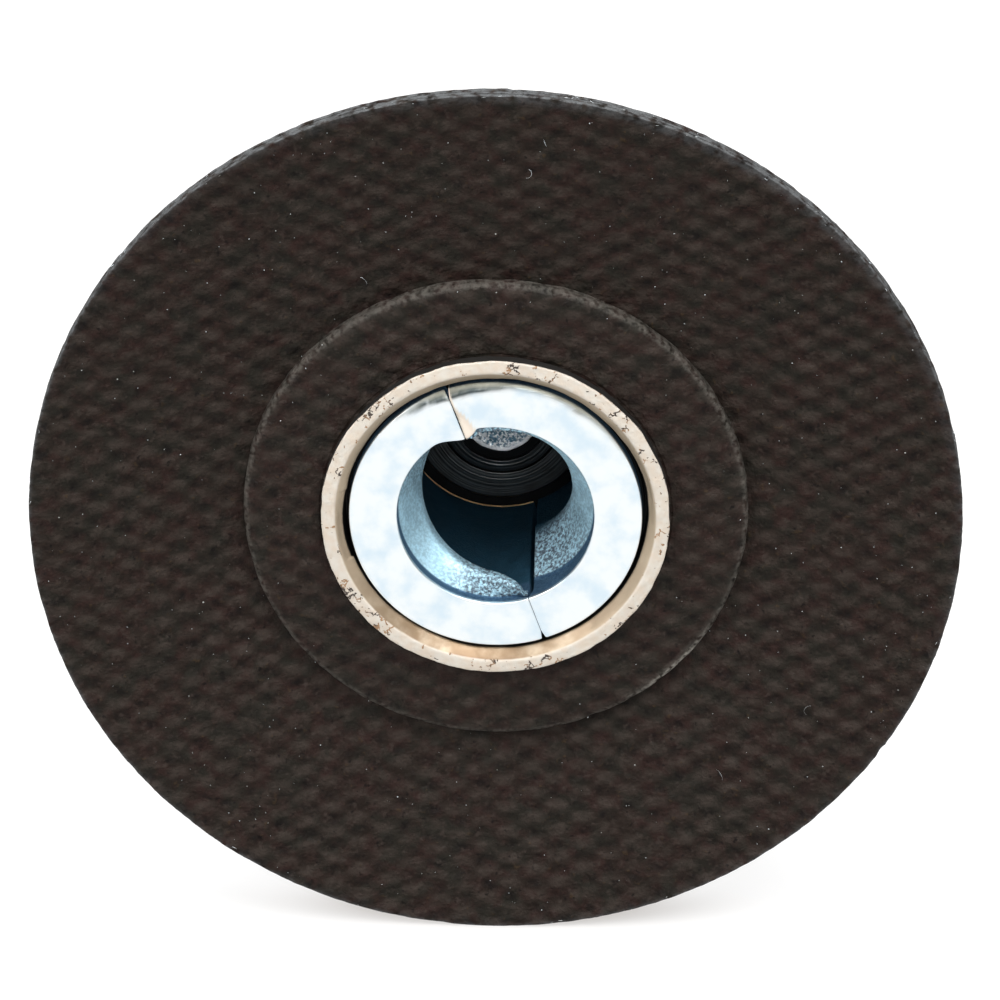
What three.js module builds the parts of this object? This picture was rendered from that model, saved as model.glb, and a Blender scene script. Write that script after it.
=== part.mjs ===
// Quick-change carving disc: a glass-cloth backing plate, a two-start half-turn socket made of two
// pressed half shells, and a domed carving shell riveted over the socket.
//
// Millimetres, +Z up, the disc standing on its rim. The spin axis is Y: the holder's side faces -Y,
// the carving side +Y. Depths are measured along +Y from the back edge of the rim.

import * as THREE from "three";

// ---------------------------------------------------------------- driving dimensions, mm and degrees

const OVERALL_DEPTH = 15.3;
const GAP = 0.05;

const PLATE = { radius: 25.4, hole: 8.75, dish: 2.1, plyThickness: 0.3, plies: 3 };
const BOSS = { radius: 13.8, face: 1.3, edgeRound: 0.35, bedRadius: 9.6, bedDepth: 0.05 };
const EYELET = { radius: 9.53, bore: 8.24, crest: 0.54, lip: 1.14, tube: 8.7, shoulder: 7.3,
  clinchRadius: 9.6, clinch: 0.45 };
const SEAT = { radius: 8.0, inner: 5.37, face: 0.9, thickness: 0.9 };
const BARREL = { inner: 5.5, outer: 6.4, end: 12.75 };
const LIP = { radius: 4.14, edge: 0.8, topRadius: 5.42, topStart: 1.85, topEnd: 0.5, dropStart: 5.17,
  dropEnd: 0.1, rootStart: 3.7, rootEnd: 1.0, roundFrom: 160, roundTo: 178 };
const SEAM = { angle: -70.5, gap: 0.2, faceOffset: 2.07 };
const CUP = { inner: 6.45, outer: 7.2, flange: 8.15, flangeThickness: 0.55, floor: 13.05,
  floorThickness: 0.6 };
const FLOOR = { radius: 4.9, bore: 2.6, groove: 3.35, step: 0.1 };
const RIVET = { radius: 2.09, headRadius: 3.4, headHeight: 0.5, washerRadius: 4.1, washer: 0.3 };
const CLAMP_WASHER = { radius: 11.6, thickness: 0.6 };
const DOME = { foot: 24.6, footInner: 23.5, land: 8.5, recess: 5.3, recessFillet: 0.5, thickness: 0.6,
  bond: 0.3 };
const GRIT = { inner: 9.6, outer: 23.6, thickness: 0.3, steps: 4 };
const BOND = { inner: 22.2, outer: 24.4 };

const PLATE_SEGMENTS = 56;
const HUB_SEGMENTS = 36;
const SHELL_SEGMENTS = 20;

// ---------------------------------------------------------------- materials

const finish = (color, roughness, metalness) =>
  new THREE.MeshStandardMaterial({ color, roughness, metalness });

const MATERIALS = {
  resin: finish(0x26201d, 0.75, 0),
  cream: finish(0xd9cfb8, 0.55, 0.2),
  zinc: finish(0xe6eef2, 0.3, 1),
  turned: finish(0x4a5258, 0.35, 1),
  rivet: finish(0xb9c6d0, 0.4, 1),
  drawn: finish(0x8d9296, 0.4, 1),
  shell: finish(0x9a9da0, 0.35, 1),
  grit: finish(0x77787a, 0.6, 0.7),
  adhesive: finish(0x5a4a2a, 0.5, 0),
};

// ---------------------------------------------------------------- helpers

const { degToRad: radians, radToDeg: degrees, lerp: mix } = THREE.MathUtils;

/** Turns a closed outline of [radius, depth] points about the spin axis. */
function turned(outline, segments) {
  const points = outline.map(([radius, depth]) => new THREE.Vector2(radius, depth));
  if (THREE.ShapeUtils.area(points) < 0) points.reverse();
  return new THREE.LatheGeometry([...points, points[0]], segments);
}

/** Points of the arc from angle a to b (degrees) about [r, d], both ends included. */
function arc(r, d, radius, a, b, steps) {
  return Array.from({ length: steps + 1 }, (_, i) => {
    const angle = radians(a + ((b - a) * i) / steps);
    return [r + radius * Math.cos(angle), d + radius * Math.sin(angle)];
  });
}

function addPiece(group, name, geometry, material) {
  const mesh = new THREE.Mesh(geometry, material);
  mesh.name = name;
  group.add(mesh);
}

// ---------------------------------------------------------------- backing plate

/** Depth of the plate's back face: a shallow cone outside the boss, flat under it. */
function plateBack(radius) {
  const slope = PLATE.dish / (PLATE.radius - BOSS.radius);
  return Math.min(PLATE.dish, (PLATE.radius - radius) * slope);
}

const plyPitch = PLATE.plyThickness + GAP;
const plateFront = (radius) => plateBack(radius) + PLATE.plies * plyPitch;

function glassPly(index) {
  const top = index * plyPitch;
  const bottom = top + PLATE.plyThickness;
  const radii = [PLATE.hole, BOSS.radius, PLATE.radius];
  return turned([
    ...radii.map((r) => [r, plateBack(r) + top]),
    ...radii.toReversed().map((r) => [r, plateBack(r) + bottom]),
  ], PLATE_SEGMENTS);
}

/** The patch under the eyelet: flat, with a rounded outer edge, and pressed in where the eyelet beds. */
function bossPly() {
  const { radius, face, edgeRound, bedRadius, bedDepth } = BOSS;
  const base = PLATE.dish - GAP;
  return turned([
    [PLATE.hole, base],
    [PLATE.hole, face + bedDepth],
    [bedRadius, face + bedDepth],
    [bedRadius, face],
    ...arc(radius - edgeRound, face + edgeRound, edgeRound, -90, 0, 3),
    [radius, base],
  ], PLATE_SEGMENTS);
}

// ---------------------------------------------------------------- hub

/** Flanged ring: crest and lip on the boss, a tube through the plate, and its clinched front end. */
function eyeletRing() {
  const { radius, bore, crest, lip, tube, shoulder, clinchRadius, clinch } = EYELET;
  const seat = BOSS.face + BOSS.bedDepth - GAP;
  const shoulderDepth = SEAT.face + SEAT.thickness + CUP.flangeThickness + 2 * GAP;
  const clinchDepth = plateFront(tube) + CLAMP_WASHER.thickness + GAP;
  return turned([
    [radius, seat],
    [radius, crest + 0.2],
    [radius - 0.15, crest + 0.04],
    [radius - 0.45, crest],
    [bore + 0.12, lip - 0.12],
    [bore, lip],
    [bore, shoulderDepth],
    [shoulder, shoulderDepth],
    [shoulder, clinchDepth + clinch],
    [clinchRadius - 0.2, clinchDepth + clinch],
    [clinchRadius, clinchDepth],
    [tube, clinchDepth],
    [tube, seat],
  ], HUB_SEGMENTS);
}

function frontClampWasher() {
  const top = plateFront(EYELET.tube);
  const bottom = top + CLAMP_WASHER.thickness;
  const { tube } = EYELET;
  const { radius } = CLAMP_WASHER;
  return turned([[tube + GAP, top], [radius, top], [radius, bottom], [tube + GAP, bottom]], HUB_SEGMENTS);
}

/**
 * Half shell of the socket. Its section is swept half a turn from the start seam, where the lip lies
 * deepest, to the end seam, where it runs out level with the flange. Depths here are below the seat.
 */
function threadShell() {
  const start = SEAM.angle;
  const section = (turn) => {
    const share = turn / 180;
    const over = THREE.MathUtils.clamp((turn - LIP.roundFrom) / (LIP.roundTo - LIP.roundFrom), 0, 1);
    const lipRadius = LIP.radius + (SEAT.inner - LIP.radius - GAP) * (1 - Math.sqrt(1 - over * over));
    const drop = mix(LIP.dropStart, LIP.dropEnd, share);
    return [
      [SEAT.radius, 0],
      [SEAT.inner, 0],
      [LIP.topRadius, mix(LIP.topStart, LIP.topEnd, share)],
      [lipRadius, drop],
      [lipRadius, drop + LIP.edge],
      [BARREL.inner, mix(LIP.rootStart, LIP.rootEnd, share)],
      [BARREL.inner, BARREL.end - SEAT.face],
      [BARREL.outer, BARREL.end - SEAT.face],
      [BARREL.outer, SEAT.thickness],
      [SEAT.radius, SEAT.thickness],
    ];
  };
  // The start face of the lip is a plane parallel to the axis, the rest of the seam is radial.
  const firstAngle = (radius) => {
    const radial = start + degrees(SEAM.gap / 2 / radius);
    const chordal = -degrees(Math.acos(SEAM.faceOffset / radius));
    return radius < SEAT.inner + 0.3 ? Math.max(radial, chordal) : radial;
  };
  const lastAngle = (radius) => start + 180 - degrees(SEAM.gap / 2 / radius);

  const positions = [];
  const count = section(0).length;
  for (let i = 0; i <= SHELL_SEGMENTS; i += 1) {
    const share = i / SHELL_SEGMENTS;
    section(share * 180).forEach(([radius, depth]) => {
      const angle = radians(mix(firstAngle(radius), lastAngle(radius), share));
      positions.push(radius * Math.cos(angle), SEAT.face + depth, radius * Math.sin(angle));
    });
  }
  const faces = [];
  for (let i = 0; i < SHELL_SEGMENTS; i += 1) {
    for (let k = 0; k < count; k += 1) {
      const next = (k + 1) % count;
      const [a, b] = [i * count + k, i * count + next];
      faces.push(a, a + count, b, b, a + count, b + count);
    }
  }
  const cap = (turn) => THREE.ShapeUtils.triangulateShape(
    section(turn).map(([radius, depth]) => new THREE.Vector2(radius, depth)), []);
  const last = SHELL_SEGMENTS * count;
  cap(0).forEach(([a, b, c]) => faces.push(a, c, b));
  cap(180).forEach(([a, b, c]) => faces.push(last + a, last + b, last + c));

  const geometry = new THREE.BufferGeometry();
  geometry.setAttribute("position", new THREE.Float32BufferAttribute(positions, 3));
  geometry.setIndex(faces);
  return geometry;
}

/** Drawn cup: a small flange under the seat, straight wall, and a floor with the rivet's hole. */
function hubCup() {
  const { inner, outer, flange, flangeThickness, floor, floorThickness } = CUP;
  const top = SEAT.face + SEAT.thickness + GAP;
  const corner = 0.5;
  const hole = RIVET.radius + GAP;
  return turned([
    [inner, top],
    [flange, top],
    [flange, top + flangeThickness],
    [outer, top + flangeThickness],
    ...arc(outer - corner, floor + floorThickness - corner, corner, 0, 90, 3),
    [hole, floor + floorThickness],
    [hole, floor],
    [inner, floor],
  ], HUB_SEGMENTS);
}

/** Turned disc on the cup's floor, with a raised ring round its bore. */
function hubFloorDisc() {
  const { radius, bore, groove, step } = FLOOR;
  const top = BARREL.end;
  const bottom = CUP.floor - GAP;
  return turned([
    [bore, bottom],
    [bore, top - step],
    [groove - 0.1, top - step],
    [groove, top + step],
    [groove + 0.12, top],
    [radius - 0.12, top],
    [radius, top + 0.12],
    [radius, bottom],
  ], HUB_SEGMENTS);
}

// ---------------------------------------------------------------- carving side

const recessFloor = CUP.floor + CUP.floorThickness + GAP;

/** Centre depth and radius of the sphere that the dome's outer face follows. */
function domeSphere() {
  const footDepth = plateFront(DOME.foot) + DOME.bond;
  const centre = (OVERALL_DEPTH ** 2 - footDepth ** 2 + DOME.land ** 2 - DOME.foot ** 2)
    / (2 * (OVERALL_DEPTH - footDepth));
  return { centre, radius: Math.hypot(DOME.land, OVERALL_DEPTH - centre) };
}

/** Angles from the spin axis at which the dome and its grit are both sampled, land to foot. */
function domeStations() {
  const angleAt = (r) => Math.asin(r / domeSphere().radius);
  const [first, last] = [angleAt(GRIT.inner), angleAt(GRIT.outer)];
  const grit = Array.from({ length: GRIT.steps + 1 }, (_, i) => mix(first, last, i / GRIT.steps));
  return { grit, whole: [angleAt(DOME.land), ...grit, angleAt(DOME.foot)] };
}

/** Points of the dome's face at the given angles, offset outwards. */
function domeFace(offset, angles) {
  const { centre, radius } = domeSphere();
  return angles.map((angle) =>
    [(radius + offset) * Math.sin(angle), centre + (radius + offset) * Math.cos(angle)]);
}

/** Pressed shell: a recess for the rivet, a flat land round it, the dome, and a flat foot. */
function carvingShell() {
  const { footInner, recess, recessFillet, thickness, bond } = DOME;
  const hole = RIVET.radius + GAP;
  const { whole } = domeStations();
  return turned([
    [hole, recessFloor],
    [hole, recessFloor + thickness],
    [recess - recessFillet, recessFloor + thickness],
    [recess, OVERALL_DEPTH - 0.15],
    [recess + 0.2, OVERALL_DEPTH],
    ...domeFace(0, whole),
    [footInner, plateFront(footInner) + bond],
    ...domeFace(-thickness, whole.slice(0, -1)).toReversed(),
    [recess + thickness, OVERALL_DEPTH - thickness],
    [recess + thickness, recessFloor],
  ], PLATE_SEGMENTS);
}

/** Layer of cutting grains on the dome, between the crown's land and the foot. */
function carbideGritCoat() {
  const { grit } = domeStations();
  return turned([...domeFace(GAP, grit), ...domeFace(GRIT.thickness, grit).toReversed()], PLATE_SEGMENTS);
}

function bondRing() {
  const { inner, outer } = BOND;
  const thickness = DOME.bond - 2 * GAP;
  return turned([
    [inner, plateFront(inner) + GAP],
    [outer, plateFront(outer) + GAP],
    [outer, plateFront(outer) + GAP + thickness],
    [inner, plateFront(inner) + GAP + thickness],
  ], PLATE_SEGMENTS);
}

const washerTop = recessFloor + DOME.thickness + GAP;
const headTop = washerTop + RIVET.washer + GAP;

function rivetWasher() {
  const hole = RIVET.radius + GAP;
  const { washerRadius, washer } = RIVET;
  return turned([
    [hole, washerTop],
    [washerRadius, washerTop],
    [washerRadius, washerTop + washer],
    [hole, washerTop + washer],
  ], HUB_SEGMENTS);
}

/** Solid rivet: upset end in the socket, shank through cup and shell, low head in the recess. */
function centreRivet() {
  const { radius, headRadius, headHeight } = RIVET;
  const end = BARREL.end + GAP;
  const points = [
    [0, end],
    [radius - 0.2, end],
    [radius, end + 0.2],
    [radius, headTop],
    [headRadius, headTop],
    [headRadius - 0.1, headTop + 0.25 * headHeight],
    [headRadius * 0.7, headTop + 0.8 * headHeight],
    [0, headTop + headHeight],
  ].map(([r, d]) => new THREE.Vector2(r, d));
  return new THREE.LatheGeometry(points, HUB_SEGMENTS);
}

// ---------------------------------------------------------------- assembly

const disc = new THREE.Group();
disc.position.y = -OVERALL_DEPTH / 2;

["rear_glass_ply", "core_glass_ply", "front_glass_ply"].forEach((name, index) => {
  addPiece(disc, name, glassPly(index), MATERIALS.resin);
});
addPiece(disc, "boss_ply", bossPly(), MATERIALS.resin);
addPiece(disc, "eyelet_ring", eyeletRing(), MATERIALS.cream);
addPiece(disc, "front_clamp_washer", frontClampWasher(), MATERIALS.drawn);

const shellGeometry = threadShell();
addPiece(disc, "thread_shell_right", shellGeometry, MATERIALS.zinc);
const otherHalf = new THREE.Group();
otherHalf.rotation.y = Math.PI;
disc.add(otherHalf);
addPiece(otherHalf, "thread_shell_left", shellGeometry, MATERIALS.zinc);

addPiece(disc, "hub_cup", hubCup(), MATERIALS.drawn);
addPiece(disc, "hub_floor_disc", hubFloorDisc(), MATERIALS.turned);
addPiece(disc, "carving_shell", carvingShell(), MATERIALS.shell);
addPiece(disc, "carbide_grit_coat", carbideGritCoat(), MATERIALS.grit);
addPiece(disc, "bond_ring", bondRing(), MATERIALS.adhesive);
addPiece(disc, "rivet_washer", rivetWasher(), MATERIALS.drawn);
addPiece(disc, "centre_rivet", centreRivet(), MATERIALS.rivet);

export default disc;
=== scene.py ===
"""Looks of a quick-change carving disc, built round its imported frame.

The disc stands on its rim with its socket towards -Y. Sizes are in millimetres: a radius is measured
from the spin axis, and a depth from the back edge of the rim towards the carving side. Angles are in
degrees round the axis, counted from +X towards +Z.
"""

import logging
import math
from collections.abc import Callable, Sequence
from dataclasses import dataclass
from enum import Enum

import bmesh
import bpy
import numpy as np
from mathutils import Matrix, Vector
from mathutils.geometry import tessellate_polygon


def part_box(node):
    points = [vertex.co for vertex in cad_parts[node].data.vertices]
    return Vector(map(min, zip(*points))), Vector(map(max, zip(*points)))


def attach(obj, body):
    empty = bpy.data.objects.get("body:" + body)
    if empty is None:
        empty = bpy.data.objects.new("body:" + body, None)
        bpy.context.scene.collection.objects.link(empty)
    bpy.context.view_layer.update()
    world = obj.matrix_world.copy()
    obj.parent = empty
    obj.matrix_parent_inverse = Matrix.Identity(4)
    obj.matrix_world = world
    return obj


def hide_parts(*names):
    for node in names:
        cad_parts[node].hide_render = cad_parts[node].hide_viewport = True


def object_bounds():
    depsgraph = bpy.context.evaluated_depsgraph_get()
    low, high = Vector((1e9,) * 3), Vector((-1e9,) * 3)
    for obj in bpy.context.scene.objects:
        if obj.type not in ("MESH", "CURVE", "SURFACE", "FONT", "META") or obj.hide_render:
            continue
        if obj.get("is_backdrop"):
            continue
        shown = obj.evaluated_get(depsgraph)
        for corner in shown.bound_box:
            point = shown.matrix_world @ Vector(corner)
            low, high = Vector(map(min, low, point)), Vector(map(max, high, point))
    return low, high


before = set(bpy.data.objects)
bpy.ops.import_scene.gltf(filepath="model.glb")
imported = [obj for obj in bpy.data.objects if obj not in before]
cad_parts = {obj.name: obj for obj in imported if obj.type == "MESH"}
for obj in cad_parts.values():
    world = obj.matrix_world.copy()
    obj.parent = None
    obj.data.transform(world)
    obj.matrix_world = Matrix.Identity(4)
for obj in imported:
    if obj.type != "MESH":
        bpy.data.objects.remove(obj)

CAD_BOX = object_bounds()
MM = 0.001
BACK = CAD_BOX[0].y / MM
BODY = "root"

log = logging.getLogger("carving_disc")

Color = tuple[float, float, float]


# ------------------------------------------------------------------------------------ geometry


@dataclass(frozen=True)
class Extent:
    """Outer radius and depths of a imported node, in mm."""

    radius: float
    near: float
    far: float

    @classmethod
    def of(cls, node: str) -> "Extent":
        """Measures a node's box.

        Args:
            node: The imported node's name.

        Returns:
            Its extent about the spin axis.
        """
        low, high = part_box(node)
        radius = max(high.x, -low.x, high.z, -low.z) / MM
        return cls(radius, low.y / MM - BACK, high.y / MM - BACK)


@dataclass(frozen=True)
class Corner:
    """A corner of a piece's section: its place, its rounding, and the cuts in the edge after it."""

    radius: float
    depth: float
    rounding: float = 0.0
    cuts: int = 1


ROUND_STEPS = 4


def section_of(corners: Sequence[Corner], closed: bool = True) -> np.ndarray:
    """Turns corners into the points of a section.

    Args:
        corners: The section's corners in order.
        closed: Whether the last corner joins the first. An open section runs from axis to axis.

    Returns:
        An array of (radius, depth) rows, with as many rows for any sizes of the same corners.
    """
    spots = [np.array((c.radius, c.depth)) for c in corners]
    count = len(corners)
    runs: list[list[np.ndarray]] = []
    for i, corner in enumerate(corners):
        here, before, after = spots[i], spots[i - 1], spots[(i + 1) % count]
        if corner.rounding <= 0 or (not closed and i in (0, count - 1)):
            runs.append([here])
            continue
        starts = []
        for other in (before, after):
            span = np.linalg.norm(other - here) + 1e-9
            starts.append(here + (other - here) / span * min(corner.rounding, 0.45 * span))
        steps = [k / ROUND_STEPS for k in range(ROUND_STEPS + 1)]
        runs.append([(1 - s) ** 2 * starts[0] + 2 * s * (1 - s) * here + s * s * starts[1] for s in steps])
    points: list[np.ndarray] = []
    for i, corner in enumerate(corners):
        points += runs[i]
        if not closed and i == count - 1:
            break
        first, last = runs[i][-1], runs[(i + 1) % count][0]
        points += [first + (last - first) * k / corner.cuts for k in range(1, corner.cuts)]
    return np.array(points)


@dataclass
class Solid:
    """A closed surface: points in mm as (x, depth, z), and its faces."""

    points: np.ndarray
    faces: list[tuple[int, ...]]

    @property
    def radii(self) -> np.ndarray:
        """Distance of every point from the spin axis."""
        return np.hypot(self.points[:, 0], self.points[:, 2])

    @property
    def angles(self) -> np.ndarray:
        """Angle of every point round the axis, in degrees from -180 to 180."""
        return np.degrees(np.arctan2(self.points[:, 2], self.points[:, 0]))

    def move_out(self, amount: np.ndarray) -> None:
        """Moves every point away from the axis by its own amount.

        Args:
            amount: How far each point moves, in mm.
        """
        scale = 1 + amount / np.maximum(self.radii, 1e-6)
        self.points[:, 0] *= scale
        self.points[:, 2] *= scale

    def faces_out(self) -> "Solid":
        """Returns the solid with its faces pointing out.

        Returns:
            The solid itself.
        """
        a, b, c = (self.points[[f[k] for f in self.faces]] for k in (0, 1, 2))
        d = self.points[[f[-1] for f in self.faces]]
        volume = np.einsum("ij,ij->", a, np.cross(b, c)) + np.einsum("ij,ij->", a, np.cross(c, d))
        if volume < 0:
            self.faces = [tuple(reversed(f)) for f in self.faces]
        return self


def revolve(section: np.ndarray, segments: int) -> Solid:
    """Turns a closed section about the spin axis.

    Args:
        section: Rows of (radius, depth).
        segments: How many times the section is repeated round the axis.

    Returns:
        The closed ring.
    """
    angle = np.linspace(0, 2 * np.pi, segments, endpoint=False)
    radius, depth = section[:, 0], section[:, 1]
    points = np.stack([
        np.outer(np.cos(angle), radius),
        np.tile(depth, (segments, 1)),
        np.outer(np.sin(angle), radius),
    ], axis=-1).reshape(-1, 3)
    return Solid(points, ring_faces(segments, len(section))).faces_out()


def ring_faces(turns: int, count: int, wrap: bool = True) -> list[tuple[int, ...]]:
    """Makes the quads between neighbouring sections of a sweep.

    Args:
        turns: The number of sections.
        count: The number of points in each.
        wrap: Whether the last section joins the first.

    Returns:
        The faces, section by section.
    """
    i = np.arange(turns if wrap else turns - 1)[:, None]
    k = np.arange(count)[None, :]
    here, onward = i * count, ((i + 1) % turns) * count
    following = (k + 1) % count
    quads = np.stack([here + k, here + following, onward + following, onward + k], axis=-1)
    return [tuple(q) for q in quads.reshape(-1, 4).tolist()]


def revolve_solid(section: np.ndarray, segments: int) -> Solid:
    """Turns an open section that starts and ends on the axis.

    Args:
        section: Rows of (radius, depth), the first and last of them on the axis.
        segments: How many times the section is repeated round the axis.

    Returns:
        The closed solid, with one point at each end of the axis.
    """
    body = section[1:-1]
    ring = revolve(body, segments)
    count, last = len(body), len(ring.points)
    closing = [f for n, f in enumerate(ring_faces(segments, count)) if n % count != count - 1]
    ends = np.array([[0, section[0, 1], 0], [0, section[-1, 1], 0]])
    for i in range(segments):
        onward = (i + 1) % segments
        closing.append((last, i * count, onward * count))
        closing.append((last + 1, onward * count + count - 1, i * count + count - 1))
    return Solid(np.vstack([ring.points, ends]), closing).faces_out()


def join(solids: Sequence[Solid]) -> Solid:
    """Puts separate solids into one.

    Args:
        solids: The solids, which stay apart from each other.

    Returns:
        One solid with all their points and faces.
    """
    points, faces, start = [], [], 0
    for solid in solids:
        points.append(solid.points)
        faces += [tuple(k + start for k in f) for f in solid.faces]
        start += len(solid.points)
    return Solid(np.vstack(points), faces)


class Noise:
    """Smooth random values on a repeating lattice, the same in every run."""

    SIZE = 32

    def __init__(self, seed: int) -> None:
        """Fills the lattice from a seed."""
        self.lattice = np.random.default_rng(seed).uniform(-1, 1, (self.SIZE,) * 3)

    def at(self, points: np.ndarray, feature: float) -> np.ndarray:
        """Looks the noise up.

        Args:
            points: Rows of (x, depth, z) in mm.
            feature: The size of the noise's features in mm.

        Returns:
            A value from -1 to 1 for every point.
        """
        p = points / feature
        cell = np.floor(p).astype(int)
        t = p - cell
        t = t * t * (3 - 2 * t)
        total = np.zeros(len(points))
        for dx in (0, 1):
            for dy in (0, 1):
                for dz in (0, 1):
                    weight = np.ones(len(points))
                    for axis, step in enumerate((dx, dy, dz)):
                        weight *= t[:, axis] if step else 1 - t[:, axis]
                    x, y, z = ((cell[:, a] + s) % self.SIZE for a, s in enumerate((dx, dy, dz)))
                    total += weight * self.lattice[x, y, z]
        return total

    def layered(self, points: np.ndarray, feature: float, layers: int = 3) -> np.ndarray:
        """Sum of finer and fainter layers of the noise."""
        return sum(self.at(points + 7.3 * n, feature / 2 ** n) / 2 ** n for n in range(layers))


def smooth_step(value: np.ndarray, low: float, high: float) -> np.ndarray:
    """Zero below low, one above high, and a smooth rise between them."""
    t = np.clip((value - low) / (high - low), 0, 1)
    return t * t * (3 - 2 * t)


def tube(path: np.ndarray, radius: float, sides: int = 5) -> Solid:
    """Makes a thin closed tube that tapers at both ends.

    Args:
        path: The middle line, as rows of (x, depth, z).
        radius: The tube's greatest radius in mm.
        sides: The number of flats round it.

    Returns:
        The tube.
    """
    ahead = np.gradient(path, axis=0)
    ahead /= np.linalg.norm(ahead, axis=1, keepdims=True) + 1e-12
    across = np.cross(ahead, [0.0, 1.0, 0.02])
    across /= np.linalg.norm(across, axis=1, keepdims=True) + 1e-12
    over = np.cross(ahead, across)
    angle = np.arange(sides) * 2 * np.pi / sides
    width = radius * np.sin(np.linspace(0.5, np.pi - 0.5, len(path)))
    rings = path[:, None] + width[:, None, None] * (
        np.cos(angle)[None, :, None] * across[:, None] + np.sin(angle)[None, :, None] * over[:, None])
    faces = ring_faces(len(path), sides, wrap=False)
    last = (len(path) - 1) * sides
    faces += [tuple(reversed(range(sides))), tuple(range(last, last + sides))]
    return Solid(rings.reshape(-1, 3), faces).faces_out()


# ------------------------------------------------------------------------------------ shader tools


class Graph:
    """Short calls for building a node tree."""

    def __init__(self, tree: bpy.types.NodeTree) -> None:
        """Keeps the tree that nodes are added to."""
        self.tree = tree

    def node(self, kind: str, **settings: object) -> bpy.types.Node:
        """Adds a node.

        Args:
            kind: Its type.
            settings: Properties to set on it.

        Returns:
            The node.
        """
        made = self.tree.nodes.new(kind)
        for name, value in settings.items():
            setattr(made, name, value)
        return made

    def feed(self, socket: bpy.types.NodeSocket, value: object) -> None:
        """Links a socket, or sets its value.

        Args:
            socket: The input socket.
            value: A socket to link, a number, or a colour.
        """
        if isinstance(value, bpy.types.NodeSocket):
            self.tree.links.new(value, socket)
        elif isinstance(value, tuple) and len(value) == 3 and socket.type == "RGBA":
            socket.default_value = (*value, 1.0)
        else:
            socket.default_value = value

    def math(self, operation: str, *values: object) -> bpy.types.NodeSocket:
        """Adds a Math node.

        Args:
            operation: What it works out.
            values: Its inputs in order.

        Returns:
            Its result.
        """
        made = self.node("ShaderNodeMath", operation=operation)
        for socket, value in zip(made.inputs, values):
            self.feed(socket, value)
        return made.outputs[0]

    def blend(self, factor: object, first: object, second: object) -> bpy.types.NodeSocket:
        """Mixes two colours.

        Args:
            factor: 0 for the first colour, 1 for the second.
            first: A colour or a socket.
            second: A colour or a socket.

        Returns:
            The mixed colour.
        """
        made = self.node("ShaderNodeMix", data_type="RGBA")
        for index, value in ((0, factor), (6, first), (7, second)):
            self.feed(made.inputs[index], value)
        return made.outputs[2]

    def spread(self, value: object, low: float, high: float, to_low: float = 0.0,
               to_high: float = 1.0) -> bpy.types.NodeSocket:
        """Maps a range of values smoothly onto another, held at both ends.

        Args:
            value: The value to map.
            low: Where the range starts.
            high: Where it ends.
            to_low: The result at and below its start.
            to_high: The result at and above its end.

        Returns:
            The mapped value.
        """
        made = self.node("ShaderNodeMapRange", interpolation_type="SMOOTHSTEP")
        for index, number in enumerate((value, low, high, to_low, to_high)):
            self.feed(made.inputs[index], number)
        return made.outputs[0]

    def place(self) -> bpy.types.NodeSocket:
        """Object coordinates in mm.

        Returns:
            The coordinates.
        """
        where = self.node("ShaderNodeTexCoord").outputs["Object"]
        scaled = self.node("ShaderNodeVectorMath", operation="SCALE")
        self.feed(scaled.inputs[0], where)
        scaled.inputs["Scale"].default_value = 1 / MM
        return scaled.outputs[0]

    def noise(self, feature: object, detail: float = 3.0) -> bpy.types.NodeSocket:
        """Adds noise.

        Args:
            feature: The size of its features in mm, a number or a socket.
            detail: How many finer layers it has.

        Returns:
            A value from 0 to 1.
        """
        made = self.node("ShaderNodeTexNoise")
        self.feed(made.inputs["Vector"], self.place())
        scale = 1 / feature if isinstance(feature, (int, float)) else self.math("DIVIDE", 1.0, feature)
        self.feed(made.inputs["Scale"], scale)
        made.inputs["Detail"].default_value = detail
        return made.outputs["Fac"]

    def radius(self) -> bpy.types.NodeSocket:
        """Distance from the spin axis in mm.

        Returns:
            The distance.
        """
        flat = self.node("ShaderNodeVectorMath", operation="MULTIPLY")
        self.feed(flat.inputs[0], self.place())
        flat.inputs[1].default_value = (1, 0, 1)
        length = self.node("ShaderNodeVectorMath", operation="LENGTH")
        self.feed(length.inputs[0], flat.outputs[0])
        return length.outputs["Value"]

    def depth(self) -> bpy.types.NodeSocket:
        """Depth from the rim's back edge in mm.

        Returns:
            The depth.
        """
        split = self.node("ShaderNodeSeparateXYZ")
        self.feed(split.inputs[0], self.place())
        return self.math("SUBTRACT", split.outputs["Y"], BACK)

    def bump(self, height: object, relief: float, normal: object = None) -> bpy.types.NodeSocket:
        """Turns a height into a normal.

        Args:
            height: The height, from 0 to 1.
            relief: How high 1 stands, in mm.
            normal: A normal to build on.

        Returns:
            The bumped normal.
        """
        made = self.node("ShaderNodeBump")
        made.inputs["Distance"].default_value = relief * MM
        self.feed(made.inputs["Height"], height)
        if normal is not None:
            self.feed(made.inputs["Normal"], normal)
        return made.outputs[0]

    def use(self, group: bpy.types.NodeTree, **values: object) -> bpy.types.NodeSocket:
        """Places a node group.

        Args:
            group: The group.
            values: Its inputs by name, with underscores for spaces.

        Returns:
            Its first output.
        """
        made = self.node("ShaderNodeGroup", node_tree=group)
        for name, value in values.items():
            self.feed(made.inputs[name.replace("_", " ")], value)
        return made.outputs[0]


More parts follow.
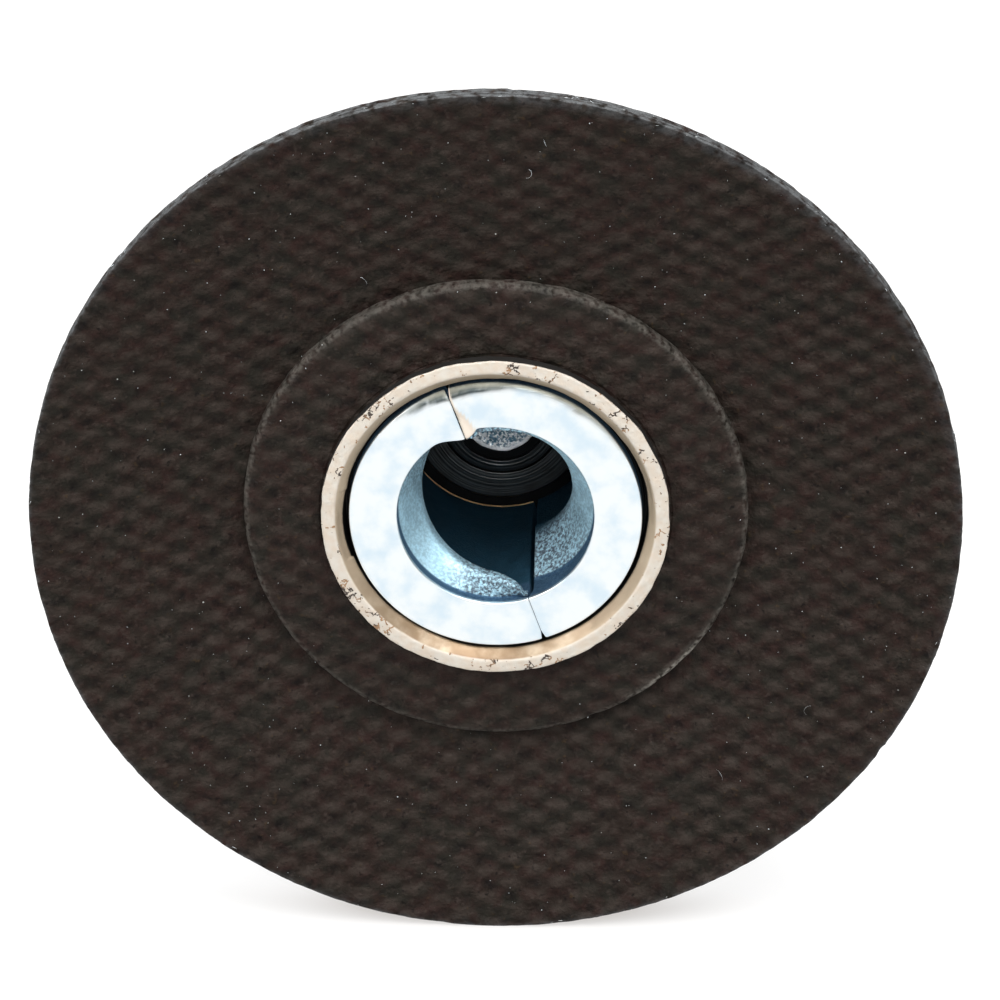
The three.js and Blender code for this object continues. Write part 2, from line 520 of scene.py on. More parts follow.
def new_group(name: str, inputs: dict[str, float], output: str) -> tuple[Graph, dict, bpy.types.NodeSocket]:
    """Starts a node group.

    Args:
        name: The group's name.
        inputs: Its number inputs and their starting values.
        output: The name of its one output, a number from 0 to 1.

    Returns:
        The graph to build in, the input sockets by name, and the output socket to feed.
    """
    tree = bpy.data.node_groups.new(name, "ShaderNodeTree")
    for label, value in inputs.items():
        socket = tree.interface.new_socket(label, in_out="INPUT", socket_type="NodeSocketFloat")
        socket.default_value = value
    tree.interface.new_socket(output, in_out="OUTPUT", socket_type="NodeSocketFloat")
    graph = Graph(tree)
    entry, leave = graph.node("NodeGroupInput"), graph.node("NodeGroupOutput")
    return graph, {label: entry.outputs[label] for label in inputs}, leave.inputs[output]


class Effects:
    """Effects that several finishes share, each one node group."""

    def __init__(self) -> None:
        """Builds the groups."""
        self.patches = self._patches()
        self.specks = self._specks()
        self.chips = self._chips()
        self.rings = self._rings()
        self.weave = self._weave()

    @staticmethod
    def _patches() -> bpy.types.NodeTree:
        """Soft-edged irregular patches: stains, worn spots, uneven resin.

        Returns:
            The node group.
        """
        graph, given, out = new_group("patches", {"Feature": 1.0, "Cover": 0.5, "Softness": 0.1}, "Mask")
        grain = graph.noise(given["Feature"], 4.0)
        edge = graph.math("SUBTRACT", 1.0, given["Cover"])
        low = graph.math("SUBTRACT", edge, given["Softness"])
        high = graph.math("ADD", edge, given["Softness"])
        spread = graph.node("ShaderNodeMapRange", interpolation_type="SMOOTHSTEP")
        for index, value in enumerate((grain, low, high)):
            graph.feed(spread.inputs[index], value)
        graph.feed(out, spread.outputs[0])
        return graph.tree

    @staticmethod
    def _specks() -> bpy.types.NodeTree:
        """Scattered tiny round specks of dust.

        Returns:
            The node group.
        """
        graph, given, out = new_group("specks", {"Pitch": 1.0, "Size": 0.05, "Cover": 0.3}, "Mask")
        cells = graph.node("ShaderNodeTexVoronoi")
        graph.feed(cells.inputs["Vector"], graph.place())
        graph.feed(cells.inputs["Scale"], graph.math("DIVIDE", 1.0, given["Pitch"]))
        reach = graph.math("MULTIPLY", cells.outputs["Distance"], given["Pitch"])
        inside = graph.math("LESS_THAN", reach, given["Size"])
        split = graph.node("ShaderNodeSeparateColor")
        graph.feed(split.inputs[0], cells.outputs["Color"])
        chosen = graph.math("LESS_THAN", split.outputs[0], given["Cover"])
        strength = graph.math("MULTIPLY_ADD", split.outputs[1], 0.7, 0.3)
        graph.feed(out, graph.math("MULTIPLY", graph.math("MULTIPLY", inside, chosen), strength))
        return graph.tree

    @staticmethod
    def _chips() -> bpy.types.NodeTree:
        """Ragged cracks and chips in a coating, gathered in places.

        Returns:
            The node group.
        """
        graph, given, out = new_group(
            "chips", {"Pitch": 0.8, "Width": 0.05, "Cover": 0.4, "Gathering": 2.5}, "Mask")
        wander = graph.node("ShaderNodeTexNoise")
        graph.feed(wander.inputs["Vector"], graph.place())
        wander.inputs["Scale"].default_value = 3.2
        wander.inputs["Detail"].default_value = 5.0
        shift = graph.node("ShaderNodeVectorMath", operation="MULTIPLY_ADD")
        graph.feed(shift.inputs[0], wander.outputs["Color"])
        shift.inputs[1].default_value = (0.55, 0.55, 0.55)
        graph.feed(shift.inputs[2], graph.place())
        cells = graph.node("ShaderNodeTexVoronoi", feature="DISTANCE_TO_EDGE")
        graph.feed(cells.inputs["Vector"], shift.outputs[0])
        graph.feed(cells.inputs["Scale"], graph.math("DIVIDE", 1.0, given["Pitch"]))
        reach = graph.math("MULTIPLY", cells.outputs["Distance"], given["Pitch"])
        line = graph.math("LESS_THAN", reach, given["Width"])
        where = graph.noise(given["Gathering"], 4.0)
        fine = graph.noise(0.33, 2.0)
        gathered = graph.math("MULTIPLY_ADD", fine, 0.6, graph.math("MULTIPLY", where, 0.7))
        limit = graph.math("SUBTRACT", 1.0, given["Cover"])
        graph.feed(out, graph.math("MULTIPLY", line, graph.math("GREATER_THAN", gathered, limit)))
        return graph.tree

    @staticmethod
    def _rings() -> bpy.types.NodeTree:
        """Fine tool lines round the spin axis.

        Returns:
            The node group.
        """
        graph, given, out = new_group("rings", {"Pitch": 0.1, "Waver": 0.3}, "Height")
        waver = graph.math("MULTIPLY", graph.noise(0.5, 2.0), given["Waver"])
        turns = graph.math("ADD", graph.math("DIVIDE", graph.radius(), given["Pitch"]), waver)
        line = graph.node("ShaderNodeTexNoise", noise_dimensions="1D")
        graph.feed(line.inputs["W"], turns)
        line.inputs["Scale"].default_value = 1.0
        line.inputs["Detail"].default_value = 2.0
        graph.feed(out, line.outputs["Fac"])
        return graph.tree

    @staticmethod
    def _weave() -> bpy.types.NodeTree:
        """Plain weave of upright and level yarns, each cell one yarn's crown.

        Returns:
            The node group.
        """
        graph, given, out = new_group(
            "weave", {"Upright pitch": Weave.upright_pitch, "Level pitch": Weave.level_pitch,
                      "Turn": 0.07}, "Height")
        turned = graph.node("ShaderNodeVectorRotate", rotation_type="Y_AXIS")
        graph.feed(turned.inputs["Vector"], graph.place())
        graph.feed(turned.inputs["Angle"], given["Turn"])
        split = graph.node("ShaderNodeSeparateXYZ")
        graph.feed(split.inputs[0], turned.outputs[0])
        waves = []
        for axis, pitch in (("X", "Upright pitch"), ("Z", "Level pitch")):
            phase = graph.math("MULTIPLY", graph.math("DIVIDE", split.outputs[axis], given[pitch]), math.pi)
            waves.append(graph.math("SINE", phase))
        product = graph.math("MULTIPLY", *waves)
        graph.feed(out, graph.math("MULTIPLY_ADD", product, 0.5, 0.5))
        return graph.tree


class Finish:
    """A surface finish. Each kind names its material and paints the Principled shader's sockets."""

    name: str = "finish"

    def paint(self, graph: Graph, effects: Effects, shader: bpy.types.Node) -> None:
        """Sets and links the shader's sockets.

        Args:
            graph: The material's graph.
            effects: The shared node groups.
            shader: The Principled shader.
        """
        raise NotImplementedError

    def build(self, effects: Effects) -> bpy.types.Material:
        """Makes the material.

        Args:
            effects: The shared node groups.

        Returns:
            The material.
        """
        material = bpy.data.materials.new(self.name)
        material.use_nodes = True
        graph = Graph(material.node_tree)
        self.paint(graph, effects, material.node_tree.nodes["Principled BSDF"])
        return material


@dataclass(frozen=True)
class ResinCloth(Finish):
    """Glass cloth soaked in dark resin: brown-black, matt, with a weave, fine hairs and dust."""

    name: str = "resin_cloth"
    pit: Color = (0.0025, 0.0016, 0.0014)
    brown: Color = (0.0122, 0.0080, 0.0060)
    green: Color = (0.0100, 0.0095, 0.0070)
    red: Color = (0.0180, 0.0085, 0.0070)
    amber: Color = (0.0400, 0.0250, 0.0120)
    crown: Color = (0.0300, 0.0230, 0.0190)
    dust: Color = (0.42, 0.44, 0.42)
    # cut: the pale cut rim, exposed glass and partly painted highlight towards the upper right.
    cut: Color = (0.075, 0.078, 0.080)
    # worn: the pale colour of the line along the boss edge, painted highlight.
    worn: Color = (0.27, 0.255, 0.225)
    roughness: float = 0.70
    gloss: float = 0.18
    yarn_relief: float = 0.045
    pit_relief: float = 0.20
    grain_relief: float = 0.045

    def paint(self, graph: Graph, effects: Effects, shader: bpy.types.Node) -> None:
        """Layers resin colours over the weave, then adds dust.

        Args:
            graph: The material's graph.
            effects: The shared node groups.
            shader: The Principled shader.
        """
        weave = graph.use(effects.weave)
        red = graph.use(effects.patches, Feature=0.8, Cover=0.48, Softness=0.12)
        green = graph.use(effects.patches, Feature=1.5, Cover=0.47, Softness=0.10)
        amber = graph.use(effects.patches, Feature=0.45, Cover=0.30, Softness=0.06)
        broken = graph.use(effects.patches, Feature=0.62, Cover=0.56, Softness=0.22)
        dust = graph.use(effects.specks, Pitch=0.85, Size=0.045, Cover=0.10)
        color = graph.blend(graph.math("MULTIPLY", red, 0.8), self.brown, self.red)
        color = graph.blend(graph.math("MULTIPLY", green, 0.8), color, self.green)
        lift = graph.math("MULTIPLY", graph.spread(weave, 0.35, 0.95), broken)
        color = graph.blend(graph.math("MULTIPLY", lift, 0.8), color, self.crown)
        color = graph.blend(graph.math("MULTIPLY", amber, 0.5), color, self.amber)
        low = graph.math("MULTIPLY", graph.spread(weave, 0.60, 0.05), graph.math("SUBTRACT", 1.0, broken))
        color = graph.blend(graph.math("MULTIPLY", low, 0.95), color, self.pit)
        tuft = graph.use(effects.patches, Feature=0.40, Cover=0.36, Softness=0.10)
        hole = graph.use(effects.patches, Feature=0.34, Cover=0.32, Softness=0.07)
        color = graph.blend(graph.math("MULTIPLY", tuft, 0.60), color, self.crown)
        color = graph.blend(graph.math("MULTIPLY", hole, 0.85), color, self.pit)
        color = graph.blend(graph.math("MULTIPLY", dust, 0.8), color, self.dust)
        # Pale marks: the cut rim, partly painted highlight, and the line along the boss edge, painted
        # highlight.
        for mark, paint, feature in (("cut_and_lit_edge", self.cut, 0.55), ("wear_and_highlight_edge", self.worn, 0.3)):
            amount = graph.node("ShaderNodeAttribute", attribute_name=mark).outputs["Fac"]
            ragged = graph.use(effects.patches, Feature=feature, Cover=0.55, Softness=0.14)
            color = graph.blend(graph.math("MULTIPLY", amount, ragged), color, paint)
        graph.feed(shader.inputs["Base Color"], color)
        shiny = graph.use(effects.patches, Feature=0.5, Cover=0.40, Softness=0.10)
        roughness = graph.spread(shiny, 0, 1, self.roughness, self.roughness - self.gloss)
        graph.feed(shader.inputs["Roughness"], roughness)
        shader.inputs["Specular IOR Level"].default_value = 0.09
        grain = graph.noise(0.16, 4.0)
        pits = graph.noise(0.45, 3.0)
        normal = graph.bump(weave, self.yarn_relief)
        normal = graph.bump(pits, self.pit_relief, normal)
        graph.feed(shader.inputs["Normal"], graph.bump(grain, self.grain_relief, normal))


@dataclass(frozen=True)
class GlassFibre(Finish):
    """Bare glass yarn ends and lint."""

    name: str = "glass_fibre"
    pale: Color = (0.50, 0.55, 0.58)
    dull: Color = (0.16, 0.16, 0.15)

    def paint(self, graph: Graph, effects: Effects, shader: bpy.types.Node) -> None:
        """Varies the fibres between pale and dull.

        Args:
            graph: The material's graph.
            effects: The shared node groups.
            shader: The Principled shader.
        """
        patch = graph.use(effects.patches, Feature=0.8, Cover=0.5, Softness=0.15)
        graph.feed(shader.inputs["Base Color"], graph.blend(patch, self.dull, self.pale))
        shader.inputs["Roughness"].default_value = 0.35


@dataclass(frozen=True)
class CreamCoat(Finish):
    """Cream coating, chipped on its outer face, worn off to a champagne metal on the inner slope, and
    painted near-black shade on its outer side and inside.
    """

    name: str = "cream_coat"
    cream: Color = (0.495, 0.462, 0.408)
    shade: Color = (0.46, 0.365, 0.275)
    chip: Color = (0.035, 0.024, 0.018)
    rust: Color = (0.26, 0.150, 0.075)
    metal: Color = (0.40, 0.325, 0.235)
    gold: Color = (0.18, 0.117, 0.065)
    # resin: near-black painted shade for the ring's outer side and its inside.
    resin: Color = (0.006, 0.005, 0.004)
    crest: float = 8.74
    fade: float = 0.06
    wall_radius: float = 9.25

    def paint(self, graph: Graph, effects: Effects, shader: bpy.types.Node) -> None:
        """Splits the ring at its crest into coating and bare metal, and paints near-black shade on its outer
        side and inside.

        Args:
            graph: The material's graph.
            effects: The shared node groups.
            shader: The Principled shader.
        """
        outer = graph.spread(graph.radius(), self.crest - self.fade, self.crest + self.fade)
        mottled = graph.use(effects.patches, Feature=0.5, Cover=0.5, Softness=0.2)
        coat = graph.blend(graph.math("MULTIPLY", mottled, 0.55), self.cream, self.shade)
        chips = graph.use(effects.chips, Pitch=0.46, Width=0.034, Cover=0.27, Gathering=1.5)
        dots = graph.use(effects.specks, Pitch=0.30, Size=0.040, Cover=0.22)
        marks = graph.math("MAXIMUM", chips, graph.math("MULTIPLY", dots, 0.75))
        rusty = graph.use(effects.patches, Feature=0.7, Cover=0.5, Softness=0.06)
        coat = graph.blend(marks, coat, graph.blend(rusty, self.chip, self.rust))
        # The inner slope turns a deeper gold towards the bottom.
        worn = graph.use(effects.patches, Feature=1.6, Cover=0.62, Softness=0.20)
        gold_toward_bottom = graph.node("ShaderNodeAttribute", attribute_name="gold_toward_bottom").outputs["Fac"]
        slope = graph.blend(graph.math("MULTIPLY", worn, gold_toward_bottom), self.metal, self.gold)
        top = Extent.of("eyelet_ring").near
        # The ring's outer side over the cloth is painted near-black shade.
        shaded_wall = graph.math("MULTIPLY", graph.spread(graph.depth(), top + 0.15, top + 0.19),
                          graph.spread(graph.radius(), self.wall_radius, self.wall_radius + 0.03))
        coat = graph.blend(shaded_wall, coat, self.resin)
        color = graph.blend(outer, slope, coat)
        # Below 1.06 mm the ring's inside is painted near-black shade.
        inside = graph.spread(graph.depth(), 1.06, 1.16)
        graph.feed(shader.inputs["Base Color"], graph.blend(inside, color, self.resin))
        metallic = graph.spread(outer, 0, 1, 0.50, 0.0)
        graph.feed(shader.inputs["Metallic"], metallic)
        graph.feed(shader.inputs["Roughness"], graph.spread(outer, 0, 1, 0.42, 0.62))
        pits = graph.noise(0.22, 4.0)
        normal = graph.bump(graph.math("MULTIPLY", pits, outer), 0.035)
        hollow = graph.math("SUBTRACT", 1.0, graph.math("MULTIPLY", marks, outer))
        graph.feed(shader.inputs["Normal"], graph.bump(hollow, 0.03, normal))


@dataclass(frozen=True)
class BrightZinc(Finish):
    """Blue-white zinc plating: bright on the seat, slate on the pressed lips, partly painted reflection, and
    painted navy shade down the barrel and on the band below the seat.
    """

    name: str = "bright_zinc"
    face: Color = (0.735, 0.775, 0.785)
    tint: Color = (0.53, 0.65, 0.735)
    lip: Color = (0.45, 0.65, 0.74)
    # lip: its blue-grey is partly painted reflection.
    grime: Color = (0.10, 0.12, 0.15)
    # band and barrel: painted navy shade inside the socket, not the plating's own colour.
    band: Color = (0.035, 0.085, 0.155)
    barrel: Color = (0.026, 0.075, 0.115)
    bare: Color = (0.68, 0.60, 0.51)
    chamfer: Color = (0.22, 0.21, 0.155)
    # A painted highlight: the lit edge at the barrel's end, not gilding.
    edge_glint: Color = (0.92, 0.56, 0.27)
    # dark: painted shadow along the seat's outer edge, over the top of the disc.
    dark: Color = (0.030, 0.045, 0.045)
    face_depth: float = 0.98
    lip_depth: float = 1.20
    band_radius: float = 5.30
    barrel_radius: float = 5.36

    def paint(self, graph: Graph, effects: Effects, shader: bpy.types.Node) -> None:
        """Colours the plating by place, with painted navy shade down the barrel and on the band, then adds
        worn and bare edges, a painted shadow along the seat's edge and a painted glint line from the mesh's
        marks.

        Args:
            graph: The material's graph.
            effects: The shared node groups.
            shader: The Principled shader.
        """
        depth, radius = graph.depth(), graph.radius()
        stain = graph.use(effects.patches, Feature=1.7, Cover=0.44, Softness=0.16)
        face = graph.blend(graph.math("MULTIPLY", stain, 0.8), self.face, self.tint)
        lips = graph.spread(depth, self.face_depth, self.lip_depth)
        grains = graph.use(effects.patches, Feature=0.17, Cover=0.50, Softness=0.12)
        rough = graph.node("ShaderNodeAttribute", attribute_name="crumpled").outputs["Fac"]
        lip = graph.blend(graph.math("MULTIPLY", grains, graph.math("MULTIPLY_ADD", rough, 0.80, 0.15)),
                          self.lip, self.grime)
        color = graph.blend(lips, face, lip)
        # Painted navy shade on the band below the seat.
        shaded_wall = graph.math("MULTIPLY", graph.spread(radius, self.band_radius, self.band_radius + 0.06), lips)
        color = graph.blend(graph.math("MULTIPLY", shaded_wall, 0.9), color, self.band)
        # Painted navy shade down the barrel.
        deep_shade = graph.math("MAXIMUM", graph.spread(depth, 5.0, 6.6), graph.math(
            "MULTIPLY", graph.spread(radius, self.barrel_radius, self.barrel_radius + 0.06),
            graph.spread(depth, 2.9, 3.4)))
        color = graph.blend(deep_shade, color, self.barrel)
        for mark, paint in (("wear_and_highlight_edge", self.chamfer), ("painted_shadow_edge", self.dark),
                            ("bare_edge", self.bare), ("glint_edge", self.edge_glint)):
            amount = graph.node("ShaderNodeAttribute", attribute_name=mark).outputs["Fac"]
            color = graph.blend(amount, color, paint)
        graph.feed(shader.inputs["Base Color"], color)
        bare = graph.node("ShaderNodeAttribute", attribute_name="bare_edge").outputs["Fac"]
        edge_glint = graph.node("ShaderNodeAttribute", attribute_name="glint_edge").outputs["Fac"]
        worn = graph.node("ShaderNodeAttribute", attribute_name="wear_and_highlight_edge").outputs["Fac"]
        bare = graph.math("MAXIMUM", graph.math("MAXIMUM", bare, edge_glint), worn)
        graph.feed(shader.inputs["Metallic"], graph.spread(bare, 0.2, 0.8, 1.0, 0.25))
        smear = graph.use(effects.patches, Feature=0.9, Cover=0.5, Softness=0.2)
        flat = graph.spread(smear, 0, 1, 0.30, 0.42)
        graph.feed(shader.inputs["Roughness"], graph.math("ADD", flat, graph.math("MULTIPLY", lips, 0.32)))
        peel = graph.math("MULTIPLY", graph.noise(0.11, 4.0), graph.math("MULTIPLY", lips, rough))
        normal = graph.bump(peel, 0.085)
        graph.feed(shader.inputs["Normal"], graph.bump(graph.noise(0.7, 2.0), 0.010, normal))


@dataclass(frozen=True)
class Steel(Finish):
    """Turned, drawn or pressed steel with tool lines, stains and, at a set radius, one groove painted black
    as shade.
    """

    name: str = "plain_steel"
    color: Color = (0.42, 0.43, 0.44)
    stain: Color = (0.20, 0.19, 0.18)
    roughness: float = 0.34
    line_pitch: float = 0.12
    line_relief: float = 0.006
    groove: float = -1.0
    groove_shade: Color = (0.004, 0.004, 0.004)

    def paint(self, graph: Graph, effects: Effects, shader: bpy.types.Node) -> None:
        """Adds tool lines, stains and the groove's painted black shade to the plain metal.

        Args:
            graph: The material's graph.
            effects: The shared node groups.
            shader: The Principled shader.
        """
        lines = graph.use(effects.rings, Pitch=self.line_pitch, Waver=0.4)
        stain = graph.use(effects.patches, Feature=1.3, Cover=0.40, Softness=0.16)
        shaded = graph.math("MULTIPLY", graph.math("MULTIPLY_ADD", lines, 0.6, 0.2), stain)
        color = graph.blend(shaded, self.color, self.stain)
        # Painted black shade in the groove.
        off = graph.math("ABSOLUTE", graph.math("SUBTRACT", graph.radius(), self.groove))
        in_groove = graph.spread(off, 0.035, 0.075, 1.0, 0.0)
        graph.feed(shader.inputs["Base Color"], graph.blend(in_groove, color, self.groove_shade))
        shader.inputs["Metallic"].default_value = 1.0
        roughness = graph.spread(lines, 0.3, 0.7, self.roughness, self.roughness + 0.12)
        graph.feed(shader.inputs["Roughness"], roughness)
        graph.feed(shader.inputs["Normal"], graph.bump(lines, self.line_relief))


@dataclass(frozen=True)
class RivetEnd(Finish):
    """Rough upset end with blue and navy facets, painted white highlights on the others and a painted bright
    rim, and a plain head at the far end.
    """

    name: str = "rivet_steel"
    # bright: painted white highlight on the upset end's facets and rim.
    bright: Color = (0.98, 0.99, 1.0)
    blue: Color = (0.09, 0.20, 0.28)
    plain: Color = (0.33, 0.335, 0.34)
    upset_depth: float = 13.4

    def paint(self, graph: Graph, effects: Effects, shader: bpy.types.Node) -> None:
        """Mixes blue grains with painted white highlights on other grains and round the rim.

        Args:
            graph: The material's graph.
            effects: The shared node groups.
            shader: The Principled shader.
        """
        grains = graph.use(effects.patches, Feature=0.16, Cover=0.5, Softness=0.08)
        head = graph.spread(graph.depth(), self.upset_depth, self.upset_depth + 0.2)
        # A painted bright rim round the upset end.
        rim = graph.spread(graph.radius(), 1.72, 1.86)
        upset = graph.blend(graph.math("MAXIMUM", grains, rim), self.blue, self.bright)
        graph.feed(shader.inputs["Base Color"], graph.blend(head, upset, self.plain))
        graph.feed(shader.inputs["Metallic"], graph.spread(head, 0, 1, 0.15, 1.0))
        shader.inputs["Roughness"].default_value = 0.36
        graph.feed(shader.inputs["Normal"], graph.bump(graph.noise(0.14, 3.0), 0.05))


@dataclass(frozen=True)
class CuttingGrit(Finish):
    """Brazed cutting grains: dark grey metal with bright broken facets and wood dust between them."""

    name: str = "cutting_grit"
    dark: Color = (0.07, 0.072, 0.078)
    bright: Color = (0.40, 0.41, 0.42)
    braze: Color = (0.30, 0.23, 0.13)

    def paint(self, graph: Graph, effects: Effects, shader: bpy.types.Node) -> None:
        """Mixes dark and bright grains and warm braze.

        Args:
            graph: The material's graph.
            effects: The shared node groups.
            shader: The Principled shader.
        """
        facets = graph.use(effects.patches, Feature=0.35, Cover=0.45, Softness=0.12)
        warm = graph.use(effects.patches, Feature=1.4, Cover=0.42, Softness=0.15)
        color = graph.blend(graph.math("MULTIPLY", warm, 0.5), self.dark, self.braze)
        graph.feed(shader.inputs["Base Color"], graph.blend(facets, color, self.bright))
        shader.inputs["Metallic"].default_value = 0.9
        graph.feed(shader.inputs["Roughness"], graph.spread(facets, 0, 1, 0.55, 0.28))
        graph.feed(shader.inputs["Normal"], graph.bump(graph.noise(0.10, 3.0), 0.03))


@dataclass(frozen=True)
class Adhesive(Finish):
    """Cured amber adhesive with small bubbles."""

    name: str = "bond_adhesive"
    amber: Color = (0.16, 0.085, 0.025)
    dark: Color = (0.06, 0.032, 0.012)

    def paint(self, graph: Graph, effects: Effects, shader: bpy.types.Node) -> None:
        """Clouds the amber and pits it.

        Args:
            graph: The material's graph.
            effects: The shared node groups.
            shader: The Principled shader.
        """
        cloud = graph.use(effects.patches, Feature=1.2, Cover=0.5, Softness=0.2)
        bubbles = graph.use(effects.specks, Pitch=0.5, Size=0.08, Cover=0.4)
        graph.feed(shader.inputs["Base Color"], graph.blend(cloud, self.amber, self.dark))
        shader.inputs["Roughness"].default_value = 0.32
        graph.feed(shader.inputs["Normal"], graph.bump(graph.math("SUBTRACT", 1.0, bubbles), 0.03))


class Look(Enum):
    """Every finish of the disc, by the record's material slot."""

    GLASS_CLOTH = "glass_cloth"
    BOSS_CLOTH = "boss_cloth"
    CREAM = "cream_coated_steel"
    ZINC = "bright_zinc"
    TURNED = "turned_steel"
    RIVET = "rivet_steel"
    PLAIN = "plain_steel"
    PRESSED = "pressed_steel"
    GRIT = "cutting_grit"
    ADHESIVE = "adhesive"


@dataclass
class Workshop:
    """Makes pieces: keeps the finished materials and fits each piece to the frame."""

    materials: dict[Look, bpy.types.Material]
    fibre: bpy.types.Material
    shade_steel: bpy.types.Material

    @classmethod
    def open(cls) -> "Workshop":
        """Builds every material once.

        Returns:
            The workshop.
        """
        effects = Effects()
        finishes: dict[Look, Finish] = {
            Look.GLASS_CLOTH: ResinCloth(),
            Look.BOSS_CLOTH: ResinCloth(name="boss_resin_cloth", yarn_relief=0.035, roughness=0.56),
            Look.CREAM: CreamCoat(),
            Look.ZINC: BrightZinc(),
            # The turned disc's near-black colour is partly painted shade, far down in the socket.
            Look.TURNED: Steel(name="turned_steel", color=(0.076, 0.079, 0.079), stain=(0.034, 0.026, 0.021),
                               groove=Hub.floor_groove, roughness=0.34, line_pitch=0.09, line_relief=0.016),
            Look.RIVET: RivetEnd(),
            Look.PLAIN: Steel(),
            Look.PRESSED: Steel(name="pressed_steel", color=(0.46, 0.46, 0.47), roughness=0.28,
                                line_pitch=0.5, line_relief=0.004),
            Look.GRIT: CuttingGrit(),
            Look.ADHESIVE: Adhesive(),
        }
        # Near-black steel for the cup's inside: painted shade.
        shade_steel = Steel(name="shade_black_steel", color=(0.010, 0.011, 0.012), stain=(0.004, 0.004, 0.004),
                      roughness=0.6)
        return cls({look: finish.build(effects) for look, finish in finishes.items()},
                   GlassFibre().build(effects), shade_steel.build(effects))

    def make(self, name: str, solid: Solid, look: Look, nodes: Sequence[str] = (), *, faceted: bool = False,
             sharp: float = 40.0, marks: dict[str, np.ndarray] | None = None,
             material: bpy.types.Material | None = None) -> bpy.types.Object:
        """Makes one piece and fits it to the frame.

        Args:
            name: The piece's name.
            solid: Its surface.
            look: Its finish.
            nodes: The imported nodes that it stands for.
            faceted: Whether its faces stay flat.
            sharp: Edges over this angle, in degrees, stay sharp on a smooth piece.
            marks: Values from 0 to 1 at every point, by the name that a finish reads.
            material: A material to use in place of the finish's own.

        Returns:
            The new object.
        """
        mesh = bpy.data.meshes.new(name)
        placed = (solid.points + [0.0, BACK, 0.0]) * MM
        mesh.from_pydata(placed.tolist(), [], solid.faces)
        for mark, values in (marks or {}).items():
            mesh.attributes.new(mark, "FLOAT", "POINT").data.foreach_set("value", values.astype(np.float32))
        mesh.materials.append(material or self.materials[look])
        if not faceted:
            mesh.shade_smooth()
            mesh.set_sharp_from_angle(angle=math.radians(sharp))
        mesh.validate()
        piece = bpy.data.objects.new(name, mesh)
        bpy.context.scene.collection.objects.link(piece)
        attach(piece, BODY)
        if nodes:
            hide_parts(*nodes)
        log.info("%s: %d faces", name, len(solid.faces))
        return piece

    def dress_node(self, node: str, look: Look) -> None:
        """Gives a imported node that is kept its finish.

        Args:
            node: The node's name.
            look: The finish.
        """
        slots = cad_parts[node].data.materials
        slots.clear()
        slots.append(self.materials[look])


# ------------------------------------------------------------------------------------ backing plate


@dataclass(frozen=True)
class Weave:
    """Plain weave of the cloth: yarn pitches, how far it is turned, and its relief."""

    upright_pitch: float = 1.39
    level_pitch: float = 0.75
    turn: float = 4.0
    relief: float = 0.058
    wander: float = 0.34

    def height(self, points: np.ndarray, noise: Noise) -> np.ndarray:
        """Works out the height of the cloth's back face above its mean.

        Args:
            points: Rows of (x, depth, z) in mm.
            noise: What makes the yarns wander.

        Returns:
            A height in mm for every point.
        """
        a = math.radians(self.turn)
        x, z = points[:, 0], points[:, 2]
        flat = np.column_stack([x, np.zeros(len(x)), z])
        u = (x * math.cos(a) - z * math.sin(a)) / self.upright_pitch
        v = (x * math.sin(a) + z * math.cos(a)) / self.level_pitch
        u = u + self.wander * noise.at(flat, 2.1)
        v = v + self.wander * 1.5 * noise.at(flat + 9, 2.6)
        crown = np.sin(np.pi * u) * np.sin(np.pi * v)
        crown = np.sign(crown) * np.abs(crown) ** 0.8
        filled = 0.65 + 0.5 * noise.at(flat + 17, 1.7)
        return self.relief * (crown * filled + 0.35 * noise.layered(flat, 0.5, 2))


